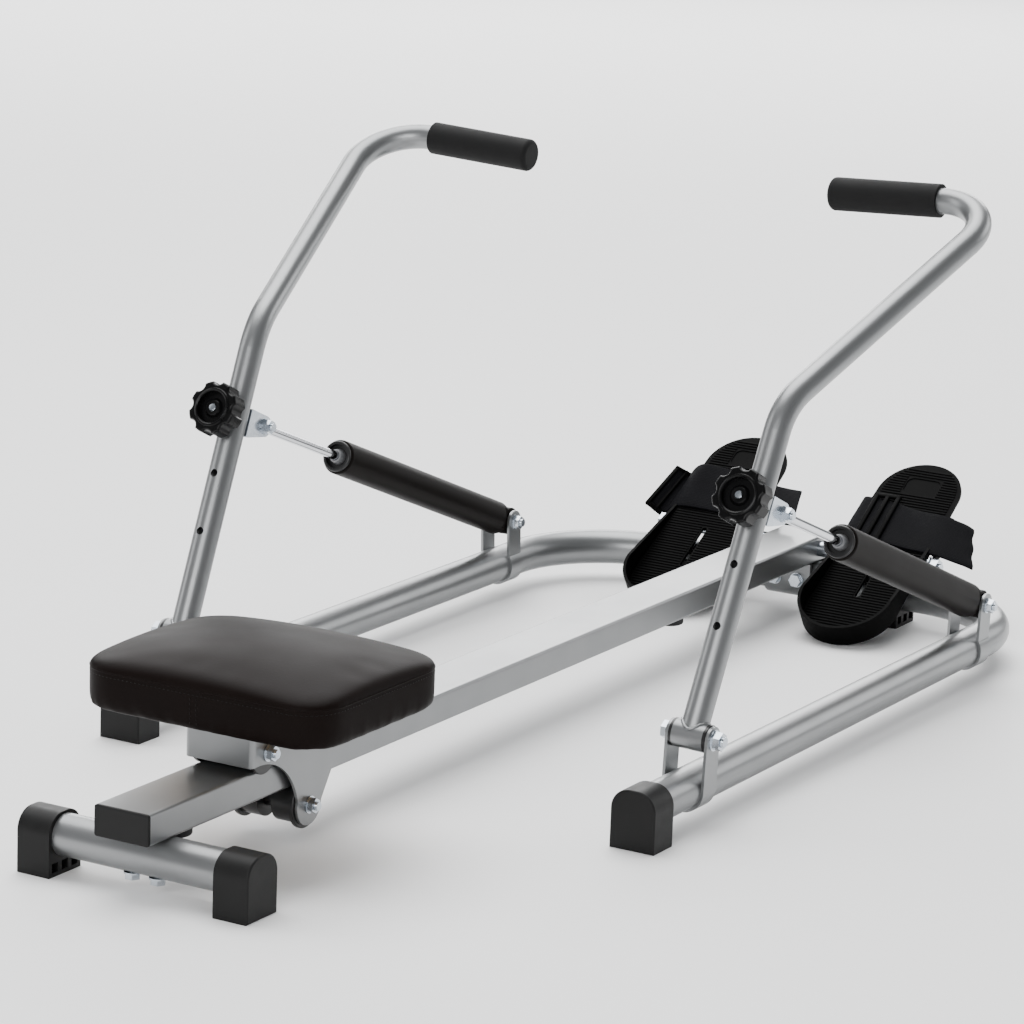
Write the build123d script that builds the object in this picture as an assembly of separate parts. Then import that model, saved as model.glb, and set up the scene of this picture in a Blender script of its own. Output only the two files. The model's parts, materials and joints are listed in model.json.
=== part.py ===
"""Folding rowing machine with two hydraulic arms, a sliding seat and tilting footplates.

X = 0 is the mirror plane, +X is the rower's right hand. +Y runs from the seat end
towards the feet and +Z is up from the floor. The pieces are laid out with Y = 0 at
the rear face of the two leg caps, and the last step moves everything so that the
origin lies under the middle of the whole machine.
"""
from build123d import *
import math
import os

os.makedirs("parts", exist_ok=True)

# Floor frame: one tube bent to a U, and a straight stabiliser under the rear of the rail
tube_diameter = 40.0
tube_wall = 2.0
tube_axis_height = 37.0
leg_half_spacing = 296.5
front_tube_y = 917.5
frame_corner_radius = 134.5
stabiliser_y = -366.0
stabiliser_half_length = 127.0

# Plastic caps and feet on the floor tubes
cap_length = 37.0
cap_width = 48.0
cap_height = 59.5
cap_arch_radius = 20.0
cap_end_wall = 4.0
cap_slot_width = 9.0
cap_slot_count = 3
cap_slot_depth = 30.0
cap_skin = 4.0
cap_edge_fillet = 2.0
front_foot_inset = 38.0
push_clearance = 0.05

# Seat rail: rectangular tube that rests on the stabiliser and on the front tube
rail_width = 60.0
rail_height = 30.0
rail_wall = 2.0
rail_corner_radius = 3.0
rail_rear_overhang = 38.5
rail_front_overhang = 25.5
plug_flange = 3.0
plug_depth = 13.0
plug_wall = 2.5

# Bolts, nuts and washers
bolt_diameter = 8.0
pivot_bolt_diameter = 10.0
hole_clearance = 0.25
running_clearance = 0.05
side_clearance = 0.3
head_share = 0.65
nut_share = 0.8
flats_share = 1.62
washer_share = 2.1
washer_thickness = 1.6
thread_end = 3.0
floor_bolt_half_spacing = 14.0

# Saddle band that ties the rail to the front tube
saddle_thickness = 4.0

# Arm and cylinder brackets: a band round the leg with two ears
ear_thickness = 3.0
ear_width = 26.0
pivot_height = 51.0
arm_pivot_y = 111.0
cylinder_pivot_y = 747.0
cylinder_ear_gap = 32.0
linkage_tilt = 1.8

# Rowing arms
arm_diameter = 27.0
arm_wall = 1.5
arm_lean = 24.86
arm_lower_length = 333.0
arm_upper_length = 382.0
arm_upper_lean = 64.0
arm_flare = 10.6
grip_droop = 4.7
arm_bend_radius = 75.0
arm_top_radius = 60.0
barrel_diameter = 28.0
bush_wall = 3.0
bush_flange = 3.0
first_hole = 106.5
hole_pitch = 62.0
hole_count = 3
grip_start = 77.0
grip_length = 124.0
grip_diameter = 35.0
grip_end_wall = 3.0
grip_end_fillet = 5.0

# Clevis on the arm, star knob and its screw
clevis_reach = 44.0
clevis_gap = 14.0
clevis_plate = 3.0
clevis_height = 30.0
clevis_rise = 4.5
clevis_nose_radius = 11.0
weld_nut_height = 6.5
knob_diameter = 56.0
knob_height = 20.0
knob_hub_diameter = 26.0
knob_hub_height = 12.0
knob_lobes = 8
knob_scallop_radius = 7.5
knob_dish_diameter = 34.0
knob_dish_depth = 5.0
knob_fillet = 2.5

# Hydraulic cylinder and rod
rod_diameter = 10.0
rod_length = 402.0
rod_eye_diameter = 20.0
shell_diameter = 38.0
shell_wall = 2.0
shell_start = 164.0
shell_floor = 6.0
shell_neck_length = 22.0
shell_fillet = 3.0
piston_length = 22.0
gland_length = 24.0
gland_lip = 3.0
gland_recess = 5.0
gland_rim = 3.5
gland_cone_height = 6.0
gland_cone_wall = 3.0
open_eye_radius = 11.8
eye_wall = 3.7
eye_width = 26.0

# Seat carriage: folded sheet channel with three flanged rollers
carriage_thickness = 3.0
carriage_half_width = 38.0
carriage_centre_y = -183.5
carriage_length = 141.0
carriage_top = 135.0
carriage_bend_radius = 5.0
roller_axle_diameter = 8.0
upper_axle_inset = 25.0
upper_roller_radius = 18.0
lower_roller_radius = 20.0
lower_axle_offset = 25.5
lobe_radius = 20.0
cut_radius = 68.0
cut_centre_drop = 10.0
cut_centre_inset = 11.0
front_edge_height = 76.0
roller_rail_gap = 0.3
flange_height = 4.0
flange_thickness = 4.0
flange_gap = 0.5
tread_width = 22.0
roller_hub_radius = 9.0
roller_edge_fillet = 1.0

# Seat
seat_width = 277.0
seat_depth = 230.0
seat_corner_radius = 42.0
seat_base = 136.0
seat_top = 196.0
seat_waist = 160.0
seat_draft = 7.0
seat_crown_radius = 560.0
seat_top_fillet = 15.0
seat_base_fillet = 4.0
board_inset = 14.0
board_thickness = 12.0
board_corner_radius = 30.0

# Rubber seat stops under the rail
bumper_diameter = 34.0
bumper_height = 13.0
bumper_fillet = 2.0
rear_bumper_y = -323.0
front_bumper_y = 609.0

# Footplates and their axle
axle_diameter = 12.0
plate_x = 113.0
heel_floor_gap = 0.3
plate_offset = 12.0
plate_thickness = 4.0
toe_radius = 51.0
heel_centre = 92.5
toe_centre = 99.0
heel_radius = 56.5
heel_wall_height = 23.0
heel_wall_thickness = 3.5
heel_wall_end = 18.0
heel_wall_end_height = 3.0
lug_width = 14.0
lug_radius = 11.0
plate_rib_depth = 7.0
plate_rib_thickness = 2.5
plate_rib_pitch = 43.0
plate_rib_count = 5
plate_slot_width = 6.0
plate_slot_length = 66.0
plate_slot_y = -42.0
toe_panel_length = 42.0
toe_panel_width = 26.0
toe_panel_radius = 8.0
toe_panel_depth = 1.0
toe_panel_y = 112.0
spacer_wall = 3.0

# Foot straps
strap_width = 62.0
strap_thickness = 3.0
strap_y = 17.0
strap_gap = 0.5
strap_left_drop = 18.0
strap_left_rise = 20.0
strap_crown_x = 8.0
strap_crown_rise = 23.0
strap_right_rise = 5.5
strap_bulge = 19.0
strap_bulge_drop = 14.0
strap_tail_x = 13.0
strap_tail_drop = 34.0
strap_bend_radius = 9.0

overrun = 5.0

tube_radius = tube_diameter / 2
rail_base = tube_axis_height + tube_radius
rail_top = rail_base + rail_height
rail_centre_height = rail_base + rail_height / 2
pivot_z = tube_axis_height + pivot_height


def cylinder_x(radius, x_start, x_end, y=0.0, z=0.0):
    """Return a cylinder along X from x_start to x_end."""
    rod = Cylinder(radius, abs(x_end - x_start), rotation=(0, 90, 0))
    return Pos((x_start + x_end) / 2, y, z) * rod


def cylinder_y(radius, y_start, y_end, x=0.0, z=0.0):
    """Return a cylinder along Y from y_start to y_end."""
    rod = Cylinder(radius, abs(y_end - y_start), rotation=(90, 0, 0))
    return Pos(x, (y_start + y_end) / 2, z) * rod


def hex_bolt(diameter, grip):
    """Return a bolt along +Z with washers and a nut; the clamped stack runs from 0 to grip."""
    radius = diameter / 2
    flats = diameter * flats_share
    head_height = diameter * head_share
    nut_height = diameter * nut_share
    washer_radius = diameter * washer_share / 2
    body = Cylinder(radius, grip, align=(Align.CENTER, Align.CENTER, Align.MIN))
    low_washer = Cylinder(washer_radius, washer_thickness, align=(Align.CENTER, Align.CENTER, Align.MAX))
    head_shape = RegularPolygon(flats / 2, 6, major_radius=False)
    head = extrude(head_shape, amount=-head_height)
    head = Pos(0, 0, -washer_thickness) * head
    high_washer = Cylinder(washer_radius, washer_thickness, align=(Align.CENTER, Align.CENTER, Align.MIN))
    nut = Pos(0, 0, grip + washer_thickness) * extrude(head_shape, amount=nut_height)
    tip_start = grip + washer_thickness + nut_height
    tip = Cylinder(radius, thread_end, align=(Align.CENTER, Align.CENTER, Align.MIN))
    return body + low_washer + head + Pos(0, 0, grip) * high_washer + nut + Pos(0, 0, tip_start) * tip


def bolt_along_x(diameter, x_start, x_end, y, z, nut_outside=True):
    """Return a hex bolt across two ears, with its nut at x_end or at x_start."""
    bolt = hex_bolt(diameter, x_end - x_start)
    if nut_outside:
        return Pos(x_start, y, z) * Rot(0, 90, 0) * bolt
    return Pos(x_end, y, z) * Rot(0, -90, 0) * bolt


def swept_tube(path, radius, wall):
    """Return a tube with the given outer radius and wall along a path."""
    section = Plane(origin=path @ 0, z_dir=path % 0)
    outer = sweep(section * Circle(radius), path=path)
    inner = sweep(section * Circle(radius - wall), path=path)
    return outer - inner


def mirrored(shape):
    """Return the left-hand twin of a right-hand shape."""
    return mirror(shape, about=Plane.YZ)


# The floor frame
frame_path = FilletPolyline(
    (leg_half_spacing, cap_end_wall, tube_axis_height),
    (leg_half_spacing, front_tube_y, tube_axis_height),
    (-leg_half_spacing, front_tube_y, tube_axis_height),
    (-leg_half_spacing, cap_end_wall, tube_axis_height),
    radius=frame_corner_radius,
)
base_frame = swept_tube(frame_path, tube_radius, tube_wall)
floor_bolt_hole = bolt_diameter / 2 + hole_clearance
saddle_outer = tube_radius + saddle_thickness
for side in (-1, 1):
    base_frame -= cylinder_y(
        floor_bolt_hole,
        front_tube_y - tube_radius - overrun,
        front_tube_y + tube_radius + overrun,
        side * floor_bolt_half_spacing,
        tube_axis_height,
    )


def foot_cap():
    """Return a tube cap whose closed face is at Y = 0 and whose mouth opens towards +Y."""
    outline = Rectangle(cap_width, cap_height, align=(Align.CENTER, Align.MIN))
    outline = fillet(outline.vertices().group_by(Axis.Y)[-1], cap_arch_radius)
    body = extrude(Plane.XZ * outline, amount=-cap_length)
    outer_edges = body.edges().group_by(Axis.Y)[0]
    body = fillet(outer_edges, cap_edge_fillet)
    pocket = cylinder_y(tube_radius + push_clearance, cap_end_wall, cap_length + overrun, 0.0, tube_axis_height)
    body -= pocket
    slot_height = tube_axis_height - tube_radius - push_clearance - cap_skin - cap_skin
    slot_pitch = (cap_width - cap_skin) / cap_slot_count
    for index in range(cap_slot_count):
        slot_x = (index - (cap_slot_count - 1) / 2) * slot_pitch
        slot = Box(
            cap_slot_width, cap_slot_depth, slot_height, align=(Align.CENTER, Align.MAX, Align.MIN)
        )
        body -= Pos(slot_x, cap_length, cap_skin) * slot
    return body


cap = foot_cap()
right_leg_cap = Pos(leg_half_spacing, 0, 0) * cap
left_leg_cap = Pos(-leg_half_spacing, 0, 0) * cap
right_stabiliser_cap = Pos(stabiliser_half_length, stabiliser_y, 0) * Rot(0, 0, 90) * cap
left_stabiliser_cap = Pos(-stabiliser_half_length, stabiliser_y, 0) * Rot(0, 0, -90) * cap


def front_foot(centre_x):
    """Return a cradle foot under the front tube."""
    block = Box(cap_length, cap_width, tube_axis_height, align=(Align.CENTER, Align.CENTER, Align.MIN))
    block = fillet(block.edges().filter_by(Axis.Z), cap_edge_fillet)
    block = Pos(centre_x, front_tube_y, 0) * block
    half = cap_length / 2 + overrun
    block -= cylinder_x(
        tube_radius + push_clearance, centre_x - half, centre_x + half, front_tube_y, tube_axis_height
    )
    slot_height = tube_axis_height - tube_radius - push_clearance - cap_skin - cap_skin
    slot_pitch = (cap_width - cap_skin) / cap_slot_count
    outward = math.copysign(1, centre_x)
    for index in range(cap_slot_count):
        slot_y = front_tube_y + (index - (cap_slot_count - 1) / 2) * slot_pitch
        slot = Box(cap_slot_depth, cap_slot_width, slot_height, align=(Align.CENTER, Align.CENTER, Align.MIN))
        slot_x = centre_x + outward * (cap_length - cap_slot_depth) / 2
        block -= Pos(slot_x, slot_y, cap_skin) * slot
    return block


front_foot_x = leg_half_spacing - frame_corner_radius - front_foot_inset
right_front_foot = front_foot(front_foot_x)
left_front_foot = front_foot(-front_foot_x)

# The stabiliser tube under the rear of the rail
stabiliser_end = stabiliser_half_length - cap_end_wall
rear_stabiliser = cylinder_x(tube_radius, -stabiliser_end, stabiliser_end, stabiliser_y, tube_axis_height)
rear_stabiliser -= cylinder_x(
    tube_radius - tube_wall,
    -stabiliser_end - overrun,
    stabiliser_end + overrun,
    stabiliser_y,
    tube_axis_height,
)

# The seat rail
rail_rear_y = stabiliser_y - rail_rear_overhang
rail_front_y = front_tube_y + rail_front_overhang
rail_outline = RectangleRounded(rail_width, rail_height, rail_corner_radius)
rail_bore_outline = RectangleRounded(
    rail_width - rail_wall * 2, rail_height - rail_wall * 2, rail_corner_radius - rail_wall
)
rail_plane = Plane(origin=(0, rail_rear_y + plug_flange, rail_centre_height), x_dir=(1, 0, 0), z_dir=(0, 1, 0))
rail_span = rail_front_y - rail_rear_y - plug_flange * 2
rail = extrude(rail_plane * rail_outline, amount=rail_span)
rail -= extrude(rail_plane * rail_bore_outline, amount=rail_span)
rail -= cylinder_x(
    axle_diameter / 2 + push_clearance, -rail_width, rail_width, front_tube_y, rail_centre_height
)
rail_bolt_hole = Cylinder(floor_bolt_hole, rail_wall + overrun * 2)
tube_bolt_hole = Cylinder(floor_bolt_hole, tube_diameter + overrun * 2)
for side in (-1, 1):
    rail -= Pos(side * floor_bolt_half_spacing, stabiliser_y, rail_base) * rail_bolt_hole
    rear_stabiliser -= Pos(side * floor_bolt_half_spacing, stabiliser_y, tube_axis_height) * tube_bolt_hole


def rail_plug():
    """Return a push-in rail plug with its flange face at Y = 0 and its skirt towards +Y."""
    face_plane = Plane(origin=(0, 0, 0), x_dir=(1, 0, 0), z_dir=(0, 1, 0))
    flange = extrude(face_plane * rail_outline, amount=plug_flange)
    flange = fillet(flange.edges().group_by(Axis.Y)[0], plug_flange / 2)
    skirt_width = rail_width - rail_wall * 2 - push_clearance * 2
    skirt_height = rail_height - rail_wall * 2 - push_clearance * 2
    skirt = RectangleRounded(skirt_width, skirt_height, rail_corner_radius - rail_wall)
    hollow = Rectangle(skirt_width - plug_wall * 2, skirt_height - plug_wall * 2)
    return flange + Pos(0, plug_flange, 0) * extrude(face_plane * (skirt - hollow), amount=plug_depth)


rail_rear_plug = Pos(0, rail_rear_y, rail_centre_height) * rail_plug()
rail_front_plug = Pos(0, rail_front_y, rail_centre_height) * Rot(0, 0, 180) * rail_plug()

# Rail bolts through the stabiliser, and saddle band and bolts at the front tube
rear_bolts = []
rear_bolt_grip = tube_diameter + rail_wall
for side in (-1, 1):
    bolt = Pos(side * floor_bolt_half_spacing, stabiliser_y, tube_axis_height - tube_radius)
    rear_bolts.append(bolt * hex_bolt(bolt_diameter, rear_bolt_grip))

saddle_band = Pos(0, tube_axis_height) * (Circle(saddle_outer) - Circle(tube_radius))
saddle_band &= Rectangle(saddle_outer * 2, tube_axis_height, align=(Align.CENTER, Align.MIN))
saddle_sides = Rectangle(saddle_outer * 2, tube_radius, align=(Align.CENTER, Align.MIN))
saddle_sides -= Rectangle(tube_diameter, tube_radius, align=(Align.CENTER, Align.MIN))
saddle_profile = saddle_band + Pos(0, tube_axis_height) * saddle_sides
saddle_plane = Plane(origin=(-rail_width / 2, front_tube_y, 0), x_dir=(0, 1, 0), z_dir=(1, 0, 0))
front_saddle = extrude(saddle_plane * saddle_profile, amount=rail_width)
front_bolts = []
for side in (-1, 1):
    bolt_x = side * floor_bolt_half_spacing
    front_saddle -= cylinder_y(
        floor_bolt_hole,
        front_tube_y - saddle_outer - overrun,
        front_tube_y + saddle_outer + overrun,
        bolt_x,
        tube_axis_height,
    )
    place = Pos(bolt_x, front_tube_y - saddle_outer, tube_axis_height) * Rot(-90, 0, 0)
    front_bolts.append(place * hex_bolt(bolt_diameter, saddle_outer * 2))

# Rubber stops for the seat
bumper = Cylinder(bumper_diameter / 2, bumper_height, align=(Align.CENTER, Align.CENTER, Align.MAX))
bumper = fillet(bumper.edges().group_by(Axis.Z)[0], bumper_fillet)
rear_bumper = Pos(0, rear_bumper_y, rail_base) * bumper
front_bumper = Pos(0, front_bumper_y, rail_base) * bumper

# The right-hand linkage is laid out upright over the leg and then tilted about the leg's axis
leg_origin = Pos(leg_half_spacing, 0, tube_axis_height)
linkage_place = leg_origin * Rot(0, linkage_tilt, 0)
bracket_inner = tube_radius
bracket_outer = tube_radius + ear_thickness


def leg_bracket(centre_y, bolt_radius, ear_gap):
    """Return a band that wraps round the leg, with two ears that reach up past a pivot bolt."""
    band = Circle(bracket_outer) - Circle(bracket_inner)
    ear_root = math.sqrt(bracket_inner**2 - (ear_gap / 2) ** 2)
    band_height = bracket_outer + ear_root
    band &= Pos(0, -bracket_outer) * Rectangle(bracket_outer * 2, band_height, align=(Align.CENTER, Align.MIN))
    ear_height = pivot_height + ear_width / 2 - ear_root
    ears = Rectangle(ear_gap + ear_thickness * 2, ear_height, align=(Align.CENTER, Align.MIN))
    ears -= Rectangle(ear_gap, ear_height, align=(Align.CENTER, Align.MIN))
    ears = Pos(0, ear_root) * ears
    plane = Plane(origin=(0, centre_y + ear_width / 2, 0), x_dir=(1, 0, 0), z_dir=(0, -1, 0))
    body = extrude(plane * (band + ears), amount=ear_width)
    side_view = Pos(centre_y, pivot_height) * Circle(ear_width / 2)
    shank = Rectangle(ear_width, pivot_height + bracket_outer, align=(Align.CENTER, Align.MIN))
    side_view += Pos(centre_y, -bracket_outer) * shank
    side_plane = Plane(origin=(-bracket_outer, 0, 0), x_dir=(0, 1, 0), z_dir=(1, 0, 0))
    body &= extrude(side_plane * side_view, amount=bracket_outer * 2)
    reach = bracket_outer + overrun
    return body - cylinder_x(bolt_radius, -reach, reach, centre_y, pivot_height)


pivot_hole = pivot_bolt_diameter / 2 + hole_clearance
cylinder_hole = bolt_diameter / 2 + hole_clearance
arm_bracket = leg_bracket(arm_pivot_y, pivot_hole, bracket_inner * 2)
cylinder_bracket = leg_bracket(cylinder_pivot_y, cylinder_hole, cylinder_ear_gap)
cylinder_ear_outer = cylinder_ear_gap / 2 + ear_thickness
arm_bolt = bolt_along_x(pivot_bolt_diameter, -bracket_outer, bracket_outer, arm_pivot_y, pivot_height)
cylinder_bolt_right = bolt_along_x(
    bolt_diameter, -cylinder_ear_outer, cylinder_ear_outer, cylinder_pivot_y, pivot_height
)
cylinder_bolt_left = bolt_along_x(
    bolt_diameter, -cylinder_ear_outer, cylinder_ear_outer, cylinder_pivot_y, pivot_height, False
)

# The arm: pivot barrel, leaning lower tube with three holes, flared upper tube, inward grip
lean = math.radians(arm_lean)
upper_lean = math.radians(arm_upper_lean)
flare = math.radians(arm_flare)
droop = math.radians(grip_droop)
arm_pivot = Vector(0, arm_pivot_y, pivot_height)
lower_direction = Vector(0, math.sin(lean), math.cos(lean))
forward_direction = Vector(0, math.cos(lean), -math.sin(lean))
upper_direction = Vector(
    math.sin(flare), math.cos(flare) * math.sin(upper_lean), math.cos(flare) * math.cos(upper_lean)
)
grip_direction = Vector(-math.cos(droop), 0, -math.sin(droop))
arm_bend = arm_pivot + lower_direction * arm_lower_length
arm_corner = arm_bend + upper_direction * arm_upper_length
tube_end_distance = grip_start + grip_length - grip_end_wall - push_clearance
arm_end = arm_corner + grip_direction * tube_end_distance
arm_radius = arm_diameter / 2
arm_path = FilletPolyline(arm_pivot, arm_bend, arm_corner, arm_end, radius=(arm_bend_radius, arm_top_radius))
arm_section = Plane(origin=arm_pivot, z_dir=lower_direction)
arm_solid = sweep(arm_section * Circle(arm_radius), path=arm_path)
barrel_half = bracket_inner - bush_flange - side_clearance
barrel = cylinder_x(barrel_diameter / 2, -barrel_half, barrel_half, arm_pivot_y, pivot_height)
arm_solid -= sweep(arm_section * Circle(arm_radius - arm_wall), path=arm_path)
arm_solid += barrel
bush_outer = pivot_bolt_diameter / 2 + bush_wall
arm_tube = arm_solid - cylinder_x(
    bush_outer + push_clearance, -bracket_outer, bracket_outer, arm_pivot_y, pivot_height
)
knob_hole_radius = bolt_diameter / 2 + running_clearance
hole_frame = Plane(origin=arm_pivot, x_dir=(1, 0, 0), z_dir=forward_direction)
hole_cutter = Cylinder(knob_hole_radius, arm_diameter + overrun)
for index in range(hole_count):
    centre = arm_pivot + lower_direction * (first_hole + index * hole_pitch)
    arm_tube -= Plane(origin=centre, x_dir=(1, 0, 0), z_dir=forward_direction).location * hole_cutter

bush_reach = barrel_half + bush_flange
arm_bush = cylinder_x(bush_outer, -bush_reach, bush_reach, arm_pivot_y, pivot_height)
for side in (-1, 1):
    arm_bush += cylinder_x(
        barrel_diameter / 2, side * barrel_half, side * bush_reach, arm_pivot_y, pivot_height
    )
arm_bush -= cylinder_x(
    pivot_bolt_diameter / 2 + running_clearance, -bracket_outer, bracket_outer, arm_pivot_y, pivot_height
)

# Foam grip with a closed, rounded end
grip_profile = Rectangle(grip_diameter / 2, grip_length, align=(Align.MIN, Align.MIN))
grip_profile = fillet(grip_profile.vertices().sort_by_distance((grip_diameter, grip_length))[0], grip_end_fillet)
grip_profile -= Rectangle(
    arm_radius + push_clearance, grip_length - grip_end_wall, align=(Align.MIN, Align.MIN)
)
arm_grip = revolve(
    Plane(origin=(0, 0, 0), x_dir=(1, 0, 0), z_dir=(0, -1, 0)) * grip_profile, Axis.Z
)
grip_frame = Plane(origin=arm_corner + grip_direction * grip_start, x_dir=(0, 1, 0), z_dir=grip_direction)
arm_grip = grip_frame.location * arm_grip

# Clevis bolted to the front of the arm at the top hole
knob_distance = first_hole + hole_pitch * (hole_count - 1)
clevis_centre = arm_pivot + lower_direction * knob_distance
clevis_frame = Plane(origin=clevis_centre, x_dir=(1, 0, 0), z_dir=forward_direction)
clevis_bolt_centre = clevis_centre + forward_direction * clevis_reach + lower_direction * clevis_rise
clevis_outer = clevis_gap / 2 + clevis_plate
clevis_side = Rectangle(clevis_height, clevis_plate, align=(Align.CENTER, Align.MIN))
nose = Pos(-clevis_rise, clevis_reach - arm_radius) * Circle(clevis_nose_radius)
clevis_outline = make_hull((clevis_side.edges() + nose.edges()))
clevis_side_plane = Plane(
    origin=clevis_centre + forward_direction * arm_radius - Vector(clevis_outer, 0, 0),
    x_dir=lower_direction * -1,
    z_dir=(1, 0, 0),
)
clevis = extrude(clevis_side_plane * clevis_outline, amount=clevis_outer * 2)
clevis_slot = Box(
    clevis_gap, clevis_height + overrun, clevis_reach + overrun, align=(Align.CENTER, Align.CENTER, Align.MIN)
)
clevis -= clevis_frame.location * Pos(0, 0, arm_radius + clevis_plate) * clevis_slot
weld_nut = extrude(RegularPolygon(bolt_diameter * flats_share / 2, 6, major_radius=False), amount=weld_nut_height)
clevis += clevis_frame.location * Pos(0, 0, arm_radius + clevis_plate) * weld_nut
clevis -= clevis_frame.location * Cylinder(knob_hole_radius, clevis_reach * 2)
clevis_bolt_frame = Pos(clevis_bolt_centre.X, clevis_bolt_centre.Y, clevis_bolt_centre.Z)
clevis -= clevis_bolt_frame * cylinder_x(cylinder_hole, -clevis_outer - overrun, clevis_outer + overrun)
clevis_bolt = bolt_along_x(
    bolt_diameter, -clevis_outer, clevis_outer, clevis_bolt_centre.Y, clevis_bolt_centre.Z
)
clevis_bolt_left = bolt_along_x(
    bolt_diameter, -clevis_outer, clevis_outer, clevis_bolt_centre.Y, clevis_bolt_centre.Z, False
)

# Star knob behind the arm, with the screw that passes through tube and clevis
star = Circle(knob_diameter / 2)
for index in range(knob_lobes):
    scallop = Pos(knob_diameter / 2 + knob_scallop_radius / 2, 0) * Circle(knob_scallop_radius)
    star -= Rot(0, 0, index * 360 / knob_lobes) * scallop
knob_head = extrude(star, amount=knob_height)
knob_head = fillet(knob_head.edges().group_by(Axis.Z)[-1], knob_fillet)
knob_head -= Pos(0, 0, knob_height) * Cylinder(
    knob_dish_diameter / 2, knob_dish_depth, align=(Align.CENTER, Align.CENTER, Align.MAX)
)
hub = Cylinder(knob_hub_diameter / 2, knob_hub_height, align=(Align.CENTER, Align.CENTER, Align.MAX))
screw_reach = arm_diameter + side_clearance + clevis_plate + weld_nut_height
screw = Cylinder(
    bolt_diameter / 2,
    screw_reach + knob_hub_height + knob_height - knob_dish_depth + clevis_plate,
    align=(Align.CENTER, Align.CENTER, Align.MIN),
)
knob = knob_head + hub + Pos(0, 0, -knob_hub_height - screw_reach) * screw
knob_frame = Plane(
    origin=clevis_centre - forward_direction * (arm_radius + side_clearance + knob_hub_height),
    x_dir=(1, 0, 0),
    z_dir=forward_direction * -1,
)
star_knob = knob_frame.location * knob

# Rod and cylinder, laid out along the line from the clevis bolt to the bolt on the leg
cylinder_pivot = Vector(0, cylinder_pivot_y, pivot_height)
strut = cylinder_pivot - clevis_bolt_centre
strut_length = strut.length
strut_direction = strut.normalized()
strut_frame = Plane(origin=clevis_bolt_centre, x_dir=(1, 0, 0), z_dir=strut_direction).location
piston_radius = shell_diameter / 2 - shell_wall - running_clearance
eye_half = clevis_gap / 2 - side_clearance
rod = Cylinder(rod_diameter / 2, rod_length, align=(Align.CENTER, Align.CENTER, Align.MIN))
rod += Cylinder(rod_eye_diameter / 2, eye_half * 2, rotation=(0, 90, 0))
rod += Pos(0, 0, rod_length) * Cylinder(piston_radius, piston_length, align=(Align.CENTER, Align.CENTER, Align.MAX))
rod -= Cylinder(bolt_diameter / 2 + running_clearance, clevis_gap * 2, rotation=(0, 90, 0))
piston_rod = strut_frame * rod

open_eye_outer = open_eye_radius + eye_wall
shell_end = strut_length - open_eye_radius
shell_radius = shell_diameter / 2
shell = Pos(0, 0, shell_start) * Cylinder(
    shell_radius, shell_end - shell_start, align=(Align.CENTER, Align.CENTER, Align.MIN)
)
shell = fillet(shell.edges().group_by(Axis.Z)[-1] + shell.edges().group_by(Axis.Z)[0], shell_fillet)
shell_body_end = strut_length - shell_neck_length
bore_length = shell_body_end - shell_start - shell_floor
shell -= Pos(0, 0, shell_start) * Cylinder(
    shell_radius - shell_wall, bore_length, align=(Align.CENTER, Align.CENTER, Align.MIN)
)
neck_half_width = eye_width / 2 + shell_wall
for side, grows in ((-1, Align.MAX), (1, Align.MIN)):
    shell -= Pos(side * neck_half_width, 0, shell_body_end) * Box(
        shell_diameter, shell_diameter, shell_neck_length, align=(grows, Align.CENTER, Align.MIN)
    )
shell += Pos(0, 0, strut_length) * Cylinder(open_eye_outer, eye_width, rotation=(0, 90, 0))
shell -= Pos(0, 0, strut_length) * Cylinder(open_eye_radius, eye_width * 2, rotation=(0, 90, 0))
cylinder_shell = strut_frame * shell

gland_outer = shell_radius - shell_wall - push_clearance
gland_inner = rod_diameter / 2 + running_clearance
gland = Cylinder(gland_outer, gland_length + gland_lip, align=(Align.CENTER, Align.CENTER, Align.MIN))
gland = fillet(gland.edges().group_by(Axis.Z)[0], gland_lip / 2)
recess = Cylinder(gland_outer - gland_rim, gland_recess, align=(Align.CENTER, Align.CENTER, Align.MIN))
cone = Cone(
    gland_inner + gland_cone_wall / 2,
    gland_inner + gland_cone_wall,
    gland_cone_height,
    align=(Align.CENTER, Align.CENTER, Align.MIN),
)
gland = gland - recess + Pos(0, 0, gland_recess - gland_cone_height) * cone
gland -= Cylinder(gland_inner, gland_length * 4)
rod_gland = strut_frame * Pos(0, 0, shell_start - gland_lip) * gland

# Seat carriage: side plates with a swept rear cut and a lobe for the lower roller
carriage_rear = carriage_centre_y - carriage_length / 2
carriage_front = carriage_centre_y + carriage_length / 2
lower_axle_y = carriage_centre_y + lower_axle_offset
lower_axle_z = rail_base - lower_roller_radius
upper_axle_z = rail_top + upper_roller_radius
upper_axle_ys = (carriage_rear + upper_axle_inset, carriage_front - upper_axle_inset)
side_face = make_face(
    Polyline(
        (carriage_rear, carriage_top),
        (carriage_rear, lower_axle_z),
        (lower_axle_y + lobe_radius, lower_axle_z),
        (carriage_front, front_edge_height),
        (carriage_front, carriage_top),
        close=True,
    )
)
cut_centre = (carriage_rear + cut_centre_inset, lower_axle_z - cut_centre_drop)
side_face -= Pos(*cut_centre) * Circle(cut_radius)
side_face += Pos(lower_axle_y, lower_axle_z) * Circle(lobe_radius)
side_plane = Plane(origin=(-carriage_half_width, 0, 0), x_dir=(0, 1, 0), z_dir=(1, 0, 0))
carriage = extrude(side_plane * side_face, amount=carriage_half_width * 2)
corner_edges = carriage.edges().filter_by(Axis.Z).group_by(Axis.Y)[0]
carriage = fillet(corner_edges, carriage_bend_radius)
inner_box = Box(
    carriage_half_width * 2 - carriage_thickness * 2,
    carriage_length,
    carriage_top - carriage_thickness,
    align=(Align.CENTER, Align.MIN, Align.MIN),
)
carriage -= Pos(0, carriage_rear + carriage_thickness, 0) * inner_box
axle_hole = roller_axle_diameter / 2 + hole_clearance
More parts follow.
